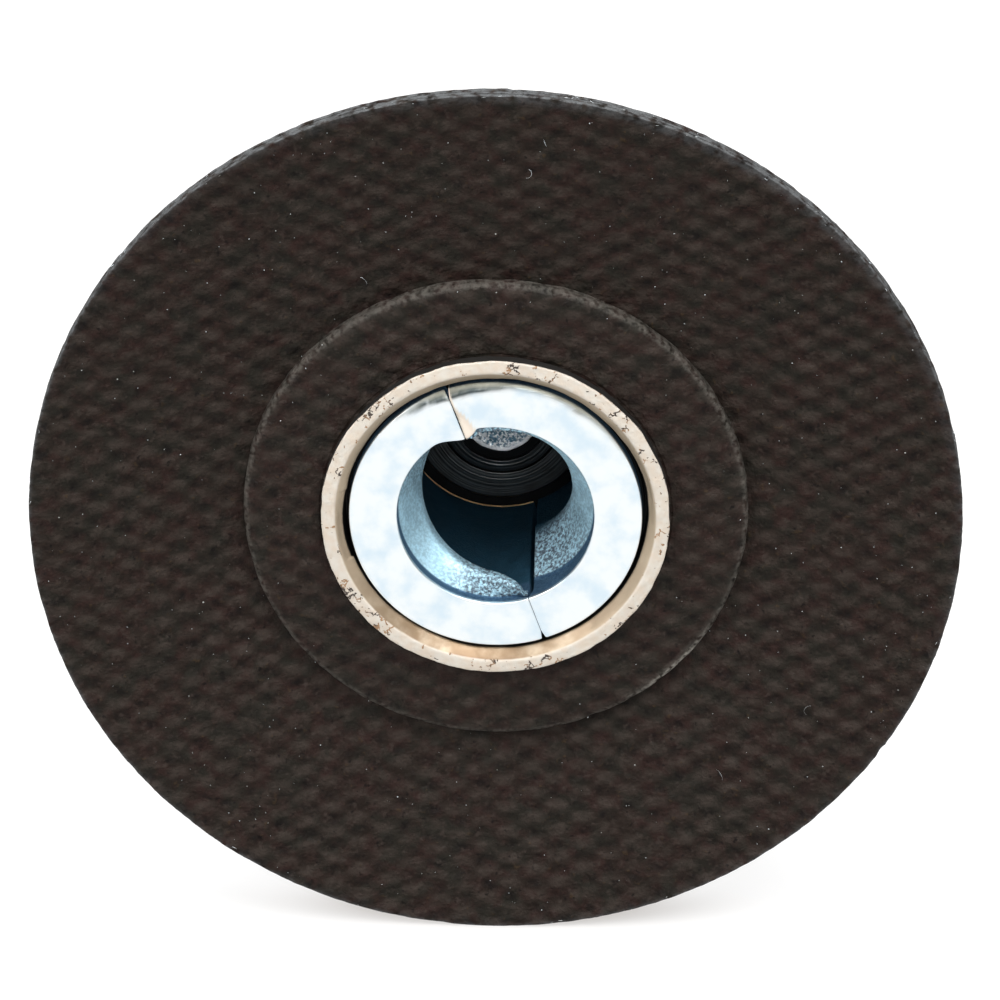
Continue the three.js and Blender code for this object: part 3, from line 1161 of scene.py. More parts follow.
@dataclass
class BackingPlate:
    """Three plies of resin-soaked glass cloth with a boss, a ragged rim and loose fibres."""

    hole: float = 8.75
    boss_radius: float = Extent.of("boss_ply").radius
    boss_face: float = Extent.of("boss_ply").near
    boss_edge: float = 0.62
    bed_radius: float = 9.6
    bed_depth: float = 0.05
    ply: float = 0.3
    ragged: float = 0.065
    weave: Weave = Weave()
    segments: int = 1024
    fine_cut: float = 0.145
    lint: int = 5
    rim_ends: int = 620
    dust: int = 380

    def rim_wear(self, solid: Solid, noise: Noise, strength: float = 1.0) -> np.ndarray:
        """Works out how far the cut rim is eaten away.

        Args:
            solid: The ply.
            noise: The ply's own noise.
            strength: How ragged it is, 1 on the rear ply.

        Returns:
            A distance in mm for every point.
        """
        direction = np.column_stack([np.cos(np.radians(solid.angles)), np.zeros(len(solid.points)),
                                     np.sin(np.radians(solid.angles))]) * 25.0
        fine = np.abs(noise.at(direction, 0.42))
        coarse = np.clip(noise.at(direction + 3, 1.5), 0, 1)
        nicks = smooth_step(noise.at(direction + 11, 0.8), 0.70, 0.95)
        return strength * self.ragged * (0.45 * fine + 0.55 * coarse + 0.9 * nicks)

    def plate_back(self, radius: np.ndarray, ply: Extent) -> np.ndarray:
        """Works out the plate's back face: a shallow cone, flat under the boss.

        Args:
            radius: Radii in mm.
            ply: The ply's extent.

        Returns:
            A depth in mm below the ply's rim for every radius.
        """
        dish = ply.far - ply.near - self.ply
        rise = (ply.radius - radius) / (ply.radius - self.boss_radius)
        return np.minimum(1.0, rise) * dish

    def build_ply(self, node: str, shop: Workshop, fine: bool, seed: int) -> None:
        """Makes one ply.

        Args:
            node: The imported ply.
            shop: Where pieces are made.
            fine: Whether its back face shows and carries the weave.
            seed: Seed of its noise.
        """
        ply = Extent.of(node)
        noise = Noise(seed)
        dish = ply.far - ply.near - self.ply
        near, edge = ply.near, 0.07
        outer_cuts = int((ply.radius - self.boss_radius) / self.fine_cut) if fine else 12
        corners = [
            Corner(self.hole, near + dish, 0.05, 12 if fine else 3),
            Corner(self.boss_radius, near + dish, 0.25, outer_cuts),
            Corner(ply.radius, near, edge, 3),
            Corner(ply.radius, near + self.ply, edge, 12),
            Corner(self.boss_radius, near + dish + self.ply, 0.0, 3),
            Corner(self.hole, near + dish + self.ply, 0.05, 2),
        ]
        solid = revolve(section_of(corners), self.segments if fine else self.segments // 2)
        radii = solid.radii
        mid = near + self.plate_back(radii, ply) + self.ply / 2
        side = np.clip((mid - solid.points[:, 1]) / (self.ply / 2), -1, 1)
        if fine:
            inside = smooth_step(ply.radius - radii, 0.05, 0.5)
            woven = (0.35 + 0.65 * inside) * self.weave.height(solid.points, noise)
            solid.points[:, 1] -= np.clip(side, 0, 1) * woven
        at_rim = smooth_step(radii, ply.radius - 1.2, ply.radius - 0.02)
        solid.move_out(-at_rim * self.rim_wear(solid, noise, 1.0 if fine else 1.3))
        solid.points[:, 1] += at_rim * 0.035 * noise.at(solid.points, 0.6)
        cut = smooth_step(radii, ply.radius - 0.10, ply.radius - 0.02)
        fuzz = smooth_step(radii, ply.radius - 0.75, ply.radius - 0.1) * 0.5
        # Towards the upper right the pale band near the rim is partly broken yarn and partly painted
        # highlight.
        torn_and_lit = 0.15 + 0.85 * np.exp(-((solid.angles - 62) / 45) ** 2)
        marks = {"cut_and_lit_edge": np.maximum(cut, fuzz * torn_and_lit)}
        shop.make(node.replace("glass_ply", "cloth"), solid, Look.GLASS_CLOTH, [node], sharp=60, marks=marks)

    def build_boss(self, shop: Workshop) -> None:
        """Makes the patch that stands proud round the eyelet.

        Args:
            shop: Where pieces are made.
        """
        noise = Noise(41)
        boss = Extent.of("boss_ply")
        face, base = boss.near, boss.far
        corners = [
            Corner(self.hole, base, 0.05, 4),
            Corner(self.hole, face + self.bed_depth, 0.03, 4),
            Corner(self.bed_radius, face + self.bed_depth, 0.02, 1),
            Corner(self.bed_radius + 0.05, face, 0.04, 30),
            Corner(boss.radius, face, self.boss_edge, 4),
            Corner(boss.radius, base, 0.02, 8),
        ]
        solid = revolve(section_of(corners), self.segments)
        radii = solid.radii
        back = smooth_step(base - solid.points[:, 1], 0.3, 0.6)
        solid.points[:, 1] -= back * 0.7 * self.weave.height(solid.points, noise)
        at_edge = smooth_step(solid.radii, boss.radius - 0.5, boss.radius - 0.05)
        angles = solid.angles
        ripple = 0.5 * noise.layered(solid.points, 1.1, 2) + 0.2 * np.sin(np.radians(angles * 3 + 40))
        solid.move_out(at_edge * np.minimum(0.0, ripple * 0.10 - 0.03))
        # A pale line along the boss edge, with a streak at the lower right, is painted highlight.
        near_edge = smooth_step(radii, boss.radius - 0.42, boss.radius - 0.12)
        highlight_streak = np.exp(-((solid.angles + 44) / 11) ** 2)
        marks = {"wear_and_highlight_edge": near_edge * (0.17 + 0.9 * highlight_streak * back)}
        shop.make("boss_cloth", solid, Look.BOSS_CLOTH, ["boss_ply"], sharp=60, marks=marks)

    def fibre_path(self, start: np.ndarray, heading: float, length: float, curl: float,
                   lift: float, steps: int = 9) -> np.ndarray:
        """Lays a loose fibre that curls in the plane of the disc and lifts off it in the middle.

        Args:
            start: Its first point, (x, depth, z).
            heading: The way it lies, in radians.
            length: Its length in mm.
            curl: How far it turns along its length, in radians.
            lift: How far its middle stands off, in mm.
            steps: The number of points.

        Returns:
            The path's points.
        """
        s = np.linspace(0, 1, steps)
        angle = heading + curl * (s - 0.5)
        step = length / (steps - 1)
        x = start[0] + np.concatenate([[0], np.cumsum(np.cos(angle[:-1]) * step)])
        z = start[2] + np.concatenate([[0], np.cumsum(np.sin(angle[:-1]) * step)])
        return np.column_stack([x, start[1] - lift * np.sin(np.pi * s), z])

    def build_fibres(self, shop: Workshop) -> None:
        """Makes the yarn ends at the rim, the lint and the dust grains on the back.

        Args:
            shop: Where pieces are made.
        """
        rear = Extent.of("rear_glass_ply")
        chance = np.random.default_rng(7)
        ends = []
        for _ in range(self.rim_ends):
            # More ends show at the upper right, where the cut tore the yarns.
            around = chance.normal(48, 34) if chance.random() < 0.55 else chance.uniform(-180, 180)
            a = math.radians(around)
            r = rear.radius - chance.uniform(0.06, 0.20)
            start = np.array([r * math.cos(a), chance.uniform(0.02, 0.85), r * math.sin(a)])
            heading = a + chance.choice([-1, 1]) * chance.uniform(1.2, 1.75)
            length = chance.uniform(0.10, 0.34)
            path = self.fibre_path(start, heading, length, chance.uniform(-1, 1), 0.02, 5)
            ends.append(tube(path, chance.uniform(0.010, 0.020), 4))
        shop.make("rim_yarn_ends", join(ends), Look.GLASS_CLOTH, material=shop.fibre)

        lint = []
        for _ in range(self.lint):
            a, r = chance.uniform(0, 2 * math.pi), chance.uniform(14.5, 24.8)
            depth = float(self.plate_back(np.array(r), rear)) - 0.045
            start = np.array([r * math.cos(a), depth, r * math.sin(a)])
            path = self.fibre_path(start, chance.uniform(0, 6.28), chance.uniform(0.4, 0.9),
                                   chance.uniform(-3.5, 3.5), 0.05, 14)
            lint.append(tube(path, chance.uniform(0.006, 0.010), 5))
        for _ in range(self.dust):
            a, r = chance.uniform(0, 2 * math.pi), 10 + 15 * math.sqrt(chance.uniform(0, 1))
            on_boss = r < self.boss_radius
            depth = self.boss_face if on_boss else float(self.plate_back(np.array(r), rear))
            centre = np.array([r * math.cos(a), depth - 0.03, r * math.sin(a)])
            lint.append(grain(centre, chance.uniform(0.016, 0.042), chance))
        shop.make("surface_lint", join(lint), Look.GLASS_CLOTH, material=shop.fibre)

    def build(self, shop: Workshop) -> None:
        """Makes every piece of the plate.

        Args:
            shop: Where pieces are made.
        """
        self.build_ply("rear_glass_ply", shop, True, 11)
        self.build_ply("core_glass_ply", shop, False, 12)
        self.build_ply("front_glass_ply", shop, False, 13)
        self.build_boss(shop)
        self.build_fibres(shop)


OCTAHEDRON = np.array([(1, 0, 0), (-1, 0, 0), (0, 1, 0), (0, -1, 0), (0, 0, 1), (0, 0, -1)], float)
OCTAHEDRON_FACES = [(0, 2, 4), (2, 1, 4), (1, 3, 4), (3, 0, 4), (2, 0, 5), (1, 2, 5), (3, 1, 5), (0, 3, 5)]


def grain(centre: np.ndarray, size: float, chance: np.random.Generator) -> Solid:
    """Makes a small eight-sided broken grain, turned at random.

    Args:
        centre: Its middle, (x, depth, z).
        size: Its mean half width in mm.
        chance: Where the random draws come from.

    Returns:
        The grain.
    """
    turned, _ = np.linalg.qr(chance.normal(size=(3, 3)))
    reach = size * chance.uniform(0.6, 1.3, (6, 1))
    return Solid(centre + (OCTAHEDRON * reach) @ turned, list(OCTAHEDRON_FACES)).faces_out()


# ------------------------------------------------------------------------------------ hub


@dataclass
class Eyelet:
    """Cream-coated ring round the hub: crest, inner slope, and a lip that wanders a little."""

    bore: float = 8.24
    crest: float = 8.76
    crest_round: float = 0.16
    tube_radius: float = 8.7
    shoulder: float = 7.3
    lip_depth: float = 1.14
    shoulder_depth: float = 2.45
    clinch: float = 0.45
    flange_depth: float = 1.3
    ring_radius: float = 9.53
    segments: int = 640

    def lip_wander(self, angle: np.ndarray) -> np.ndarray:
        """Works out how far the lip stands back from its true circle.

        Args:
            angle: Angles in degrees.

        Returns:
            A distance in mm for every angle.
        """
        wide = 0.13 * np.exp(-((angle - 14) / 17) ** 2)
        step = np.where((angle > 170) | (angle < -161), 1.0, 0.0)
        run_in = smooth_step((angle + 360) % 360, 150, 196)
        tucked = -0.10 * np.exp(-((((angle + 360) % 360) - 232) / 30) ** 2)
        return wide + 0.12 * step * run_in + tucked

    def build(self, shop: Workshop) -> None:
        """Makes the ring.

        Args:
            shop: Where pieces are made.
        """
        size = Extent.of("eyelet_ring")
        noise = Noise(21)
        top, bottom = size.near, size.far
        corners = [
            Corner(self.ring_radius, self.flange_depth, 0.02, 4),
            Corner(self.ring_radius, top + 0.03, 0.07, 8),
            Corner(self.crest, top, self.crest_round, 6),
            Corner(self.bore + 0.05, self.lip_depth - 0.10, 0.06, 3),
            Corner(self.bore, self.lip_depth, 0.04, 4),
            Corner(self.bore, self.shoulder_depth, 0.02, 2),
            Corner(self.shoulder, self.shoulder_depth, 0.02, 2),
            Corner(self.shoulder, bottom, 0.05, 2),
            Corner(size.radius - 0.1, bottom, 0.1, 2),
            Corner(size.radius, bottom - self.clinch, 0.05, 2),
            Corner(self.tube_radius, bottom - self.clinch, 0.02, 3),
            Corner(self.tube_radius, self.flange_depth, 0.02, 2),
        ]
        solid = revolve(section_of(corners), self.segments)
        shown = smooth_step(self.lip_depth + 0.5 - solid.points[:, 1], 0.0, 0.4)
        inner = smooth_step(8.75 - solid.radii, 0.0, 0.4) * shown
        solid.move_out(inner * self.lip_wander(solid.angles))
        solid.move_out(shown * 0.020 * noise.layered(solid.points, 1.2, 3))
        solid.points[:, 1] += shown * 0.018 * noise.layered(solid.points + 5, 0.6, 3)
        rim = shown * smooth_step(solid.radii, 9.1, 9.5)
        solid.move_out(rim * (0.045 * noise.layered(solid.points + 9, 1.1, 3) - 0.03))
        # The inner slope turns a deeper gold towards the bottom.
        below = np.exp(-(((solid.angles + 98) / 52) ** 2))
        marks = {"gold_toward_bottom": np.clip(0.12 + below, 0, 1)}
        shop.make("eyelet_ring_coated", solid, Look.CREAM, ["eyelet_ring"], sharp=50, marks=marks)


@dataclass
class ThreadShell:
    """Half of the socket: a seat flange, a helical lip and a half barrel, bent from one pressing.

    It runs from its start seam through half a turn to its end seam. Pairs of sizes are given at the
    start and at the end. A tongue is how far the flange's inner edge reaches in beside a seam.
    """

    name: str
    node: str
    turned: float
    end_wedge: float
    lean_back: float
    tongues: tuple[float, float]
    has_glint: bool
    seed: int
    seat_radius: float = 8.0
    seat_inner: float = 5.37
    seat_depth: float = 0.9
    sheet: float = 0.9
    barrel_inner: float = 5.5
    barrel_outer: float = 6.4
    barrel_extra: float = 0.20
    glint_width: float = 0.27
    lip_radius: float = 4.14
    lip_edge: float = 0.8
    lip_outer: float = 5.41
    lean_from: float = 72.0
    lean_run: float = 88.0
    tongue_runs: tuple[float, float] = (19.0, 8.5)
    drop: tuple[float, float] = (5.17, 0.12)
    band: tuple[float, float] = (2.05, 0.72)
    band_run: float = 62.0
    root: tuple[float, float] = (3.7, 1.0)
    open_turn: tuple[float, float] = (158.0, 177.5)
    seam_angle: float = -70.5
    seam_gap: float = 0.03
    seam_mouth: float = 0.22
    face_offset: float = 2.07
    stations: int = 150
    bevel: float = 0.03

    def section(self, turn: float) -> np.ndarray:
        """Works out the shell's section.

        Args:
            turn: Degrees after the start seam.

        Returns:
            Rows of (radius, depth below the seat).
        """
        share = turn / 180
        first, last = self.open_turn
        over = min(1.0, max(0.0, (turn - first) / (last - first)))
        leaned = min(1.0, max(0.0, (turn - self.lean_from) / self.lean_run))
        leaning = self.lip_radius + self.lean_back * leaned ** 1.15
        lip = leaning + (self.seat_inner - 0.07 - leaning) * (1 - math.sqrt(1 - over * over))
        drop, root = (a + (b - a) * share for a, b in (self.drop, self.root))
        low, high = self.band[1], self.band[0]
        top = low + (high - low) * max(0.0, 1 - turn / self.band_run) ** 1.3
        end = self.barrel_end()
        at_start = max(0.0, 1 - turn / self.tongue_runs[0])
        at_end = max(0.0, 1 - (180 - turn) / self.tongue_runs[1])
        tongue = self.tongues[0] * at_start ** 2 * (3 - 2 * at_start)
        tongue += self.tongues[1] * (1 - (1 - at_end) ** 2.2)
        lip -= tongue if at_end > 0 else 0
        return section_of([
            Corner(self.seat_radius, 0, 0.08, 16),
            Corner(self.seat_inner - tongue, 0, 0.10, 8),
            Corner(self.lip_outer - tongue, top, 0.10, 18),
            Corner(lip, drop, 0.24, 3),
            Corner(lip, drop + self.lip_edge, 0.20, 6),
            Corner(self.barrel_inner, root, 0.25, 16),
            Corner(self.barrel_inner, end - self.glint_width),
            Corner(self.barrel_inner, end - self.glint_width + 0.03),
            Corner(self.barrel_inner, end, 0.14, 2),
            Corner(self.barrel_outer, end, 0.05, 3),
            Corner(self.barrel_outer, self.sheet, 0.10, 3),
            Corner(self.seat_radius, self.sheet, 0.08, 2),
        ])

    def barrel_end(self) -> float:
        """Depth of the barrel's end below the seat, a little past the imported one."""
        return Extent.of(self.node).far - self.seat_depth + self.barrel_extra

    def seam_angles(self, radius: np.ndarray, depth: np.ndarray) -> tuple[np.ndarray, np.ndarray]:
        """Works out where the shell starts and ends. Below the flange the lip starts on a flat face.

        Args:
            radius: Radii of the points.
            depth: Their depths below the seat.

        Returns:
            The angles of the start and end faces at every point, in degrees.
        """
        mouth = np.clip((radius - 7.5) / (self.seat_radius - 7.5), 0, 1) * self.seam_mouth
        slack = np.degrees((self.seam_gap + mouth) / 2 / radius)
        radial = self.seam_angle + slack
        chordal = -np.degrees(np.arccos(np.clip(self.face_offset / radius, -1, 1)))
        lowered = np.maximum(radial, radial + (chordal - radial) * smooth_step(depth, 0.25, 1.0))
        start = np.where(radius < self.seat_inner + 0.3, lowered, radial)
        return start, self.seam_angle + 180 - slack

    def shares(self) -> np.ndarray:
        """Stations along the sweep, close together at both ends for the rounded seam edges."""
        fine = np.array([0, 0.0012, 0.0032, 0.007])
        return np.concatenate([fine, np.linspace(0.013, 0.987, self.stations), 1 - fine[::-1]])

    def shrink(self, section: np.ndarray, amount: float) -> np.ndarray:
        """Moves a section's outline inwards.

        Args:
            section: Rows of (radius, depth).
            amount: How far, in mm.

        Returns:
            The smaller section.
        """
        along = np.roll(section, -1, axis=0) - np.roll(section, 1, axis=0)
        along /= np.linalg.norm(along, axis=1, keepdims=True) + 1e-9
        inwards = np.column_stack([-along[:, 1], along[:, 0]])
        radius, depth = section[:, 0], section[:, 1]
        area = np.sum(radius * np.roll(depth, -1) - np.roll(radius, -1) * depth)
        return section + inwards * (amount if area > 0 else -amount)

    def build(self, shop: Workshop) -> None:
        """Makes the half.

        Args:
            shop: Where pieces are made.
        """
        noise = Noise(self.seed)
        rows, shares = [], self.shares()
        for share in shares:
            section = self.section(180 * share)
            near_end = min(share, 1 - share)
            inset = self.bevel * max(0.0, 1 - near_end / 0.0032)
            section = self.shrink(section, inset) if inset > 0 else section
            start, end = self.seam_angles(section[:, 0], section[:, 1])
            angle = np.radians(start + (end - start) * share)
            rows.append(np.column_stack([section[:, 0] * np.cos(angle), section[:, 1],
                                         section[:, 0] * np.sin(angle)]))
        count = len(rows[0])
        points = np.vstack(rows)
        faces = ring_faces(len(rows), count, wrap=False)
        for row, offset in ((rows[0], 0), (rows[-1], (len(rows) - 1) * count)):
            radius = np.hypot(row[:, 0], row[:, 2])
            outline = [Vector((r, d, 0)) for r, d in zip(radius, row[:, 1])]
            cap = [tuple(k + offset for k in t) for t in tessellate_polygon([outline])]
            faces += cap if offset else [tuple(reversed(t)) for t in cap]
        solid = Solid(points, faces)
        marks = self.age(solid, np.repeat(shares, count), noise)
        solid.points[:, 1] += self.seat_depth
        spin = math.radians(self.turned)
        x, z = solid.points[:, 0].copy(), solid.points[:, 2].copy()
        solid.points[:, 0] = x * math.cos(spin) - z * math.sin(spin)
        solid.points[:, 2] = x * math.sin(spin) + z * math.cos(spin)
        solid = consistent(solid)
        shop.make(self.name, solid, Look.ZINC, [self.node], sharp=42, marks=marks)

    def age(self, solid: Solid, share: np.ndarray, noise: Noise) -> dict[str, np.ndarray]:
        """Gives the pressing its peel, dents, worn edges and wedge.

        Args:
            solid: The pressing, with depths below the seat. Its points are moved.
            share: How far round the shell every point lies, from 0 to 1.
            noise: The shell's own noise.

        Returns:
            The marks that its finish reads.
        """
        radius, depth = solid.radii, solid.points[:, 1].copy()
        start, end = self.seam_angles(radius, depth)
        to_end = np.radians(end - start) * (1 - share) * radius
        on_face = 1 - smooth_step(depth, 0.02, 0.22)
        inside = (1 - smooth_step(radius, 5.30, 5.40)) * (1 - smooth_step(depth, 6.0, 6.6))
        on_slope = smooth_step(depth, 0.10, 0.3) * inside
        crumple = smooth_step(share, 0.60, 0.85) + (1 - smooth_step(share, 0.08, 0.45))
        crumple = np.clip(crumple, 0.14, 1.0)
        peel = 0.042 * noise.at(solid.points, 0.24) + 0.026 * noise.at(solid.points + 4, 0.15)
        solid.points[:, 1] += on_slope * crumple * peel
        solid.points[:, 1] += on_face * 0.010 * noise.at(solid.points, 1.8)

        # The seat's outer edge is worn to a ragged chamfer, widest over the top of the disc.
        upper = smooth_step(share, 0.50, 0.74) if self.end_wedge else 1 - smooth_step(share, 0.02, 0.15)
        edge = self.seat_radius - radius
        near_seam = smooth_step(share, 0.84, 0.93) if self.end_wedge else 1 - smooth_step(share, 0.05, 0.14)
        reach = (0.06 + 0.16 * upper + 0.14 * near_seam) * (1 + 0.45 * noise.layered(solid.points, 0.9, 3))
        chamfer = on_face * (1 - smooth_step(edge, reach * 0.75, reach)) * (0.15 + 0.85 * upper)
        solid.points[:, 1] += on_face * np.clip(reach - edge, 0, 1) * 0.50 * upper
        # A dark band along the chamfer, strongest over the top and near the seam, is painted shadow.
        edge_shadow = 1.3 * on_face * upper * np.exp(-((edge - reach * 0.80) / 0.17) ** 2)
        edge_shadow *= smooth_step(noise.layered(solid.points + 8, 0.55, 3), -1.0, -0.2)
        edge_shadow *= 0.25 + 0.75 * near_seam

        slope = np.clip((self.seat_radius - radius) / (self.seat_radius - self.seat_inner), 0, 1.15)
        width = 0.09 + self.end_wedge * smooth_step(slope, 0.30, 1.0)
        width *= 1 + 0.12 * noise.at(solid.points + 2, 0.5)
        wedge = np.clip(1 - to_end / width, 0, 1) * on_face * (1 if self.end_wedge else 0)
        solid.points[:, 1] += np.clip(wedge * width, 0, 0.35) * 0.42
        end_face = (1 - smooth_step(depth, 0.5, 0.9)) * (to_end < 0.06) * (1 if self.end_wedge else 0)
        bare = np.maximum(smooth_step(wedge, 0.04, 0.16), end_face)
        end = self.barrel_end()
        # A painted highlight along the barrel's end, on one half only.
        edge_glint = smooth_step(depth, end - self.glint_width, end - self.glint_width + 0.02)
        edge_glint *= (radius < 5.9) * (share < 0.999) * self.has_glint
        return {
            "bare_edge": bare,
            "glint_edge": edge_glint,
            "painted_shadow_edge": np.clip(edge_shadow, 0, 1) * 0.9,
            "wear_and_highlight_edge": chamfer * 0.9,
            "crumpled": crumple,
        }


def consistent(solid: Solid) -> Solid:
    """Turns every face outwards, whatever way it was listed.

    Args:
        solid: A closed solid.

    Returns:
        The same solid with its faces pointing out.
    """
    mesh = bmesh.new()
    spots = [mesh.verts.new(p) for p in solid.points.tolist()]
    for face in solid.faces:
        if len({*face}) > 2:
            mesh.faces.new([spots[k] for k in face])
    bmesh.ops.recalc_face_normals(mesh, faces=mesh.faces)
    mesh.verts.index_update()
    faces = [tuple(v.index for v in f.verts) for f in mesh.faces]
    mesh.free()
    return Solid(solid.points, faces)


@dataclass
class Hub:
    """The socket: eyelet, two thread shells, cup and floor disc."""

    cup_inner: float = 6.45
    cup_outer: float = 7.2
    cup_flange: float = 0.55
    cup_floor: float = 0.6
    rivet_hole: float = 2.14
    floor_bore: float = 2.6
    floor_groove: float = 3.35
    floor_extra: float = 0.06
    ridge_pitch: float = 0.16
    segments: int = 384

    def build_cup(self, shop: Workshop) -> None:
        """Makes the drawn cup.

        Args:
            shop: Where pieces are made.
        """
        cup = Extent.of("hub_cup")
        solid = revolve(section_of([
            Corner(self.cup_inner, cup.near, 0.10, 4),
            Corner(cup.radius, cup.near, 0.06, 2),
            Corner(cup.radius, cup.near + self.cup_flange, 0.06, 3),
            Corner(self.cup_outer, cup.near + self.cup_flange, 0.12, 8),
            Corner(self.cup_outer, cup.far, 0.7, 6),
            Corner(self.rivet_hole, cup.far, 0.04, 2),
            Corner(self.rivet_hole, cup.far - self.cup_floor, 0.04, 8),
            Corner(self.cup_inner, cup.far - self.cup_floor, 0.45, 8),
        ]), self.segments // 2)
        # The cup is painted near-black shade.
        shop.make("hub_cup_drawn", solid, Look.PLAIN, ["hub_cup"], material=shop.shade_steel)

    def build_floor(self, shop: Workshop) -> None:
        """Makes the turned disc with its tool lines, groove and raised ring.

        Args:
            shop: Where pieces are made.
        """
        disc = Extent.of("hub_floor_disc")
        top, bottom = disc.near + 0.1, disc.far
        outer = disc.radius + self.floor_extra
        chance = np.random.default_rng(31)
        corners = [
            Corner(self.floor_bore, bottom, 0.03, 2),
            Corner(self.floor_bore, top - 0.07, 0.05, 3),
            Corner(self.floor_bore + 0.22, top - 0.03, 0.04, 1),
            Corner(self.floor_bore + 0.26, top - 0.06, 0.02, 1),
            Corner(self.floor_bore + 0.42, top - 0.02, 0.04, 1),
            Corner(self.floor_groove - 0.09, top, 0.05, 2),
            Corner(self.floor_groove - 0.03, top + 0.12, 0.03, 1),
            Corner(self.floor_groove + 0.06, top, 0.05, 1),
        ]
        r = self.floor_groove + 0.2
        while r < disc.radius - 0.2:
            corners.append(Corner(r, top + chance.uniform(0.004, 0.020), 0.03, 1))
            corners.append(Corner(r + self.ridge_pitch * 0.55, top - chance.uniform(0.0, 0.008), 0.04, 1))
            r += self.ridge_pitch * chance.uniform(0.8, 1.3)
        corners += [
            Corner(outer - 0.10, top, 0.05, 2),
            Corner(outer, top + 0.10, 0.04, 2),
            Corner(outer, bottom, 0.04, 4),
        ]
        shop.make("hub_floor_disc_turned", revolve(section_of(corners), self.segments), Look.TURNED,
                  ["hub_floor_disc"], sharp=25)

    def build(self, shop: Workshop) -> None:
        """Makes every piece of the socket.

        Args:
            shop: Where pieces are made.
        """
        Eyelet().build(shop)
        ThreadShell(name="thread_shell_right_pressed", node="thread_shell_right", turned=0.0,
                    end_wedge=0.70, lean_back=0.66, tongues=(0.0, 0.53), has_glint=False, seed=51).build(shop)
        ThreadShell(name="thread_shell_left_pressed", node="thread_shell_left", turned=180.0,
                    end_wedge=0.0, lean_back=0.0, tongues=(0.46, 0.0), has_glint=True, seed=52).build(shop)
        self.build_cup(shop)
        self.build_floor(shop)
        shop.dress_node("front_clamp_washer", Look.PLAIN)


# ------------------------------------------------------------------------------------ carving side


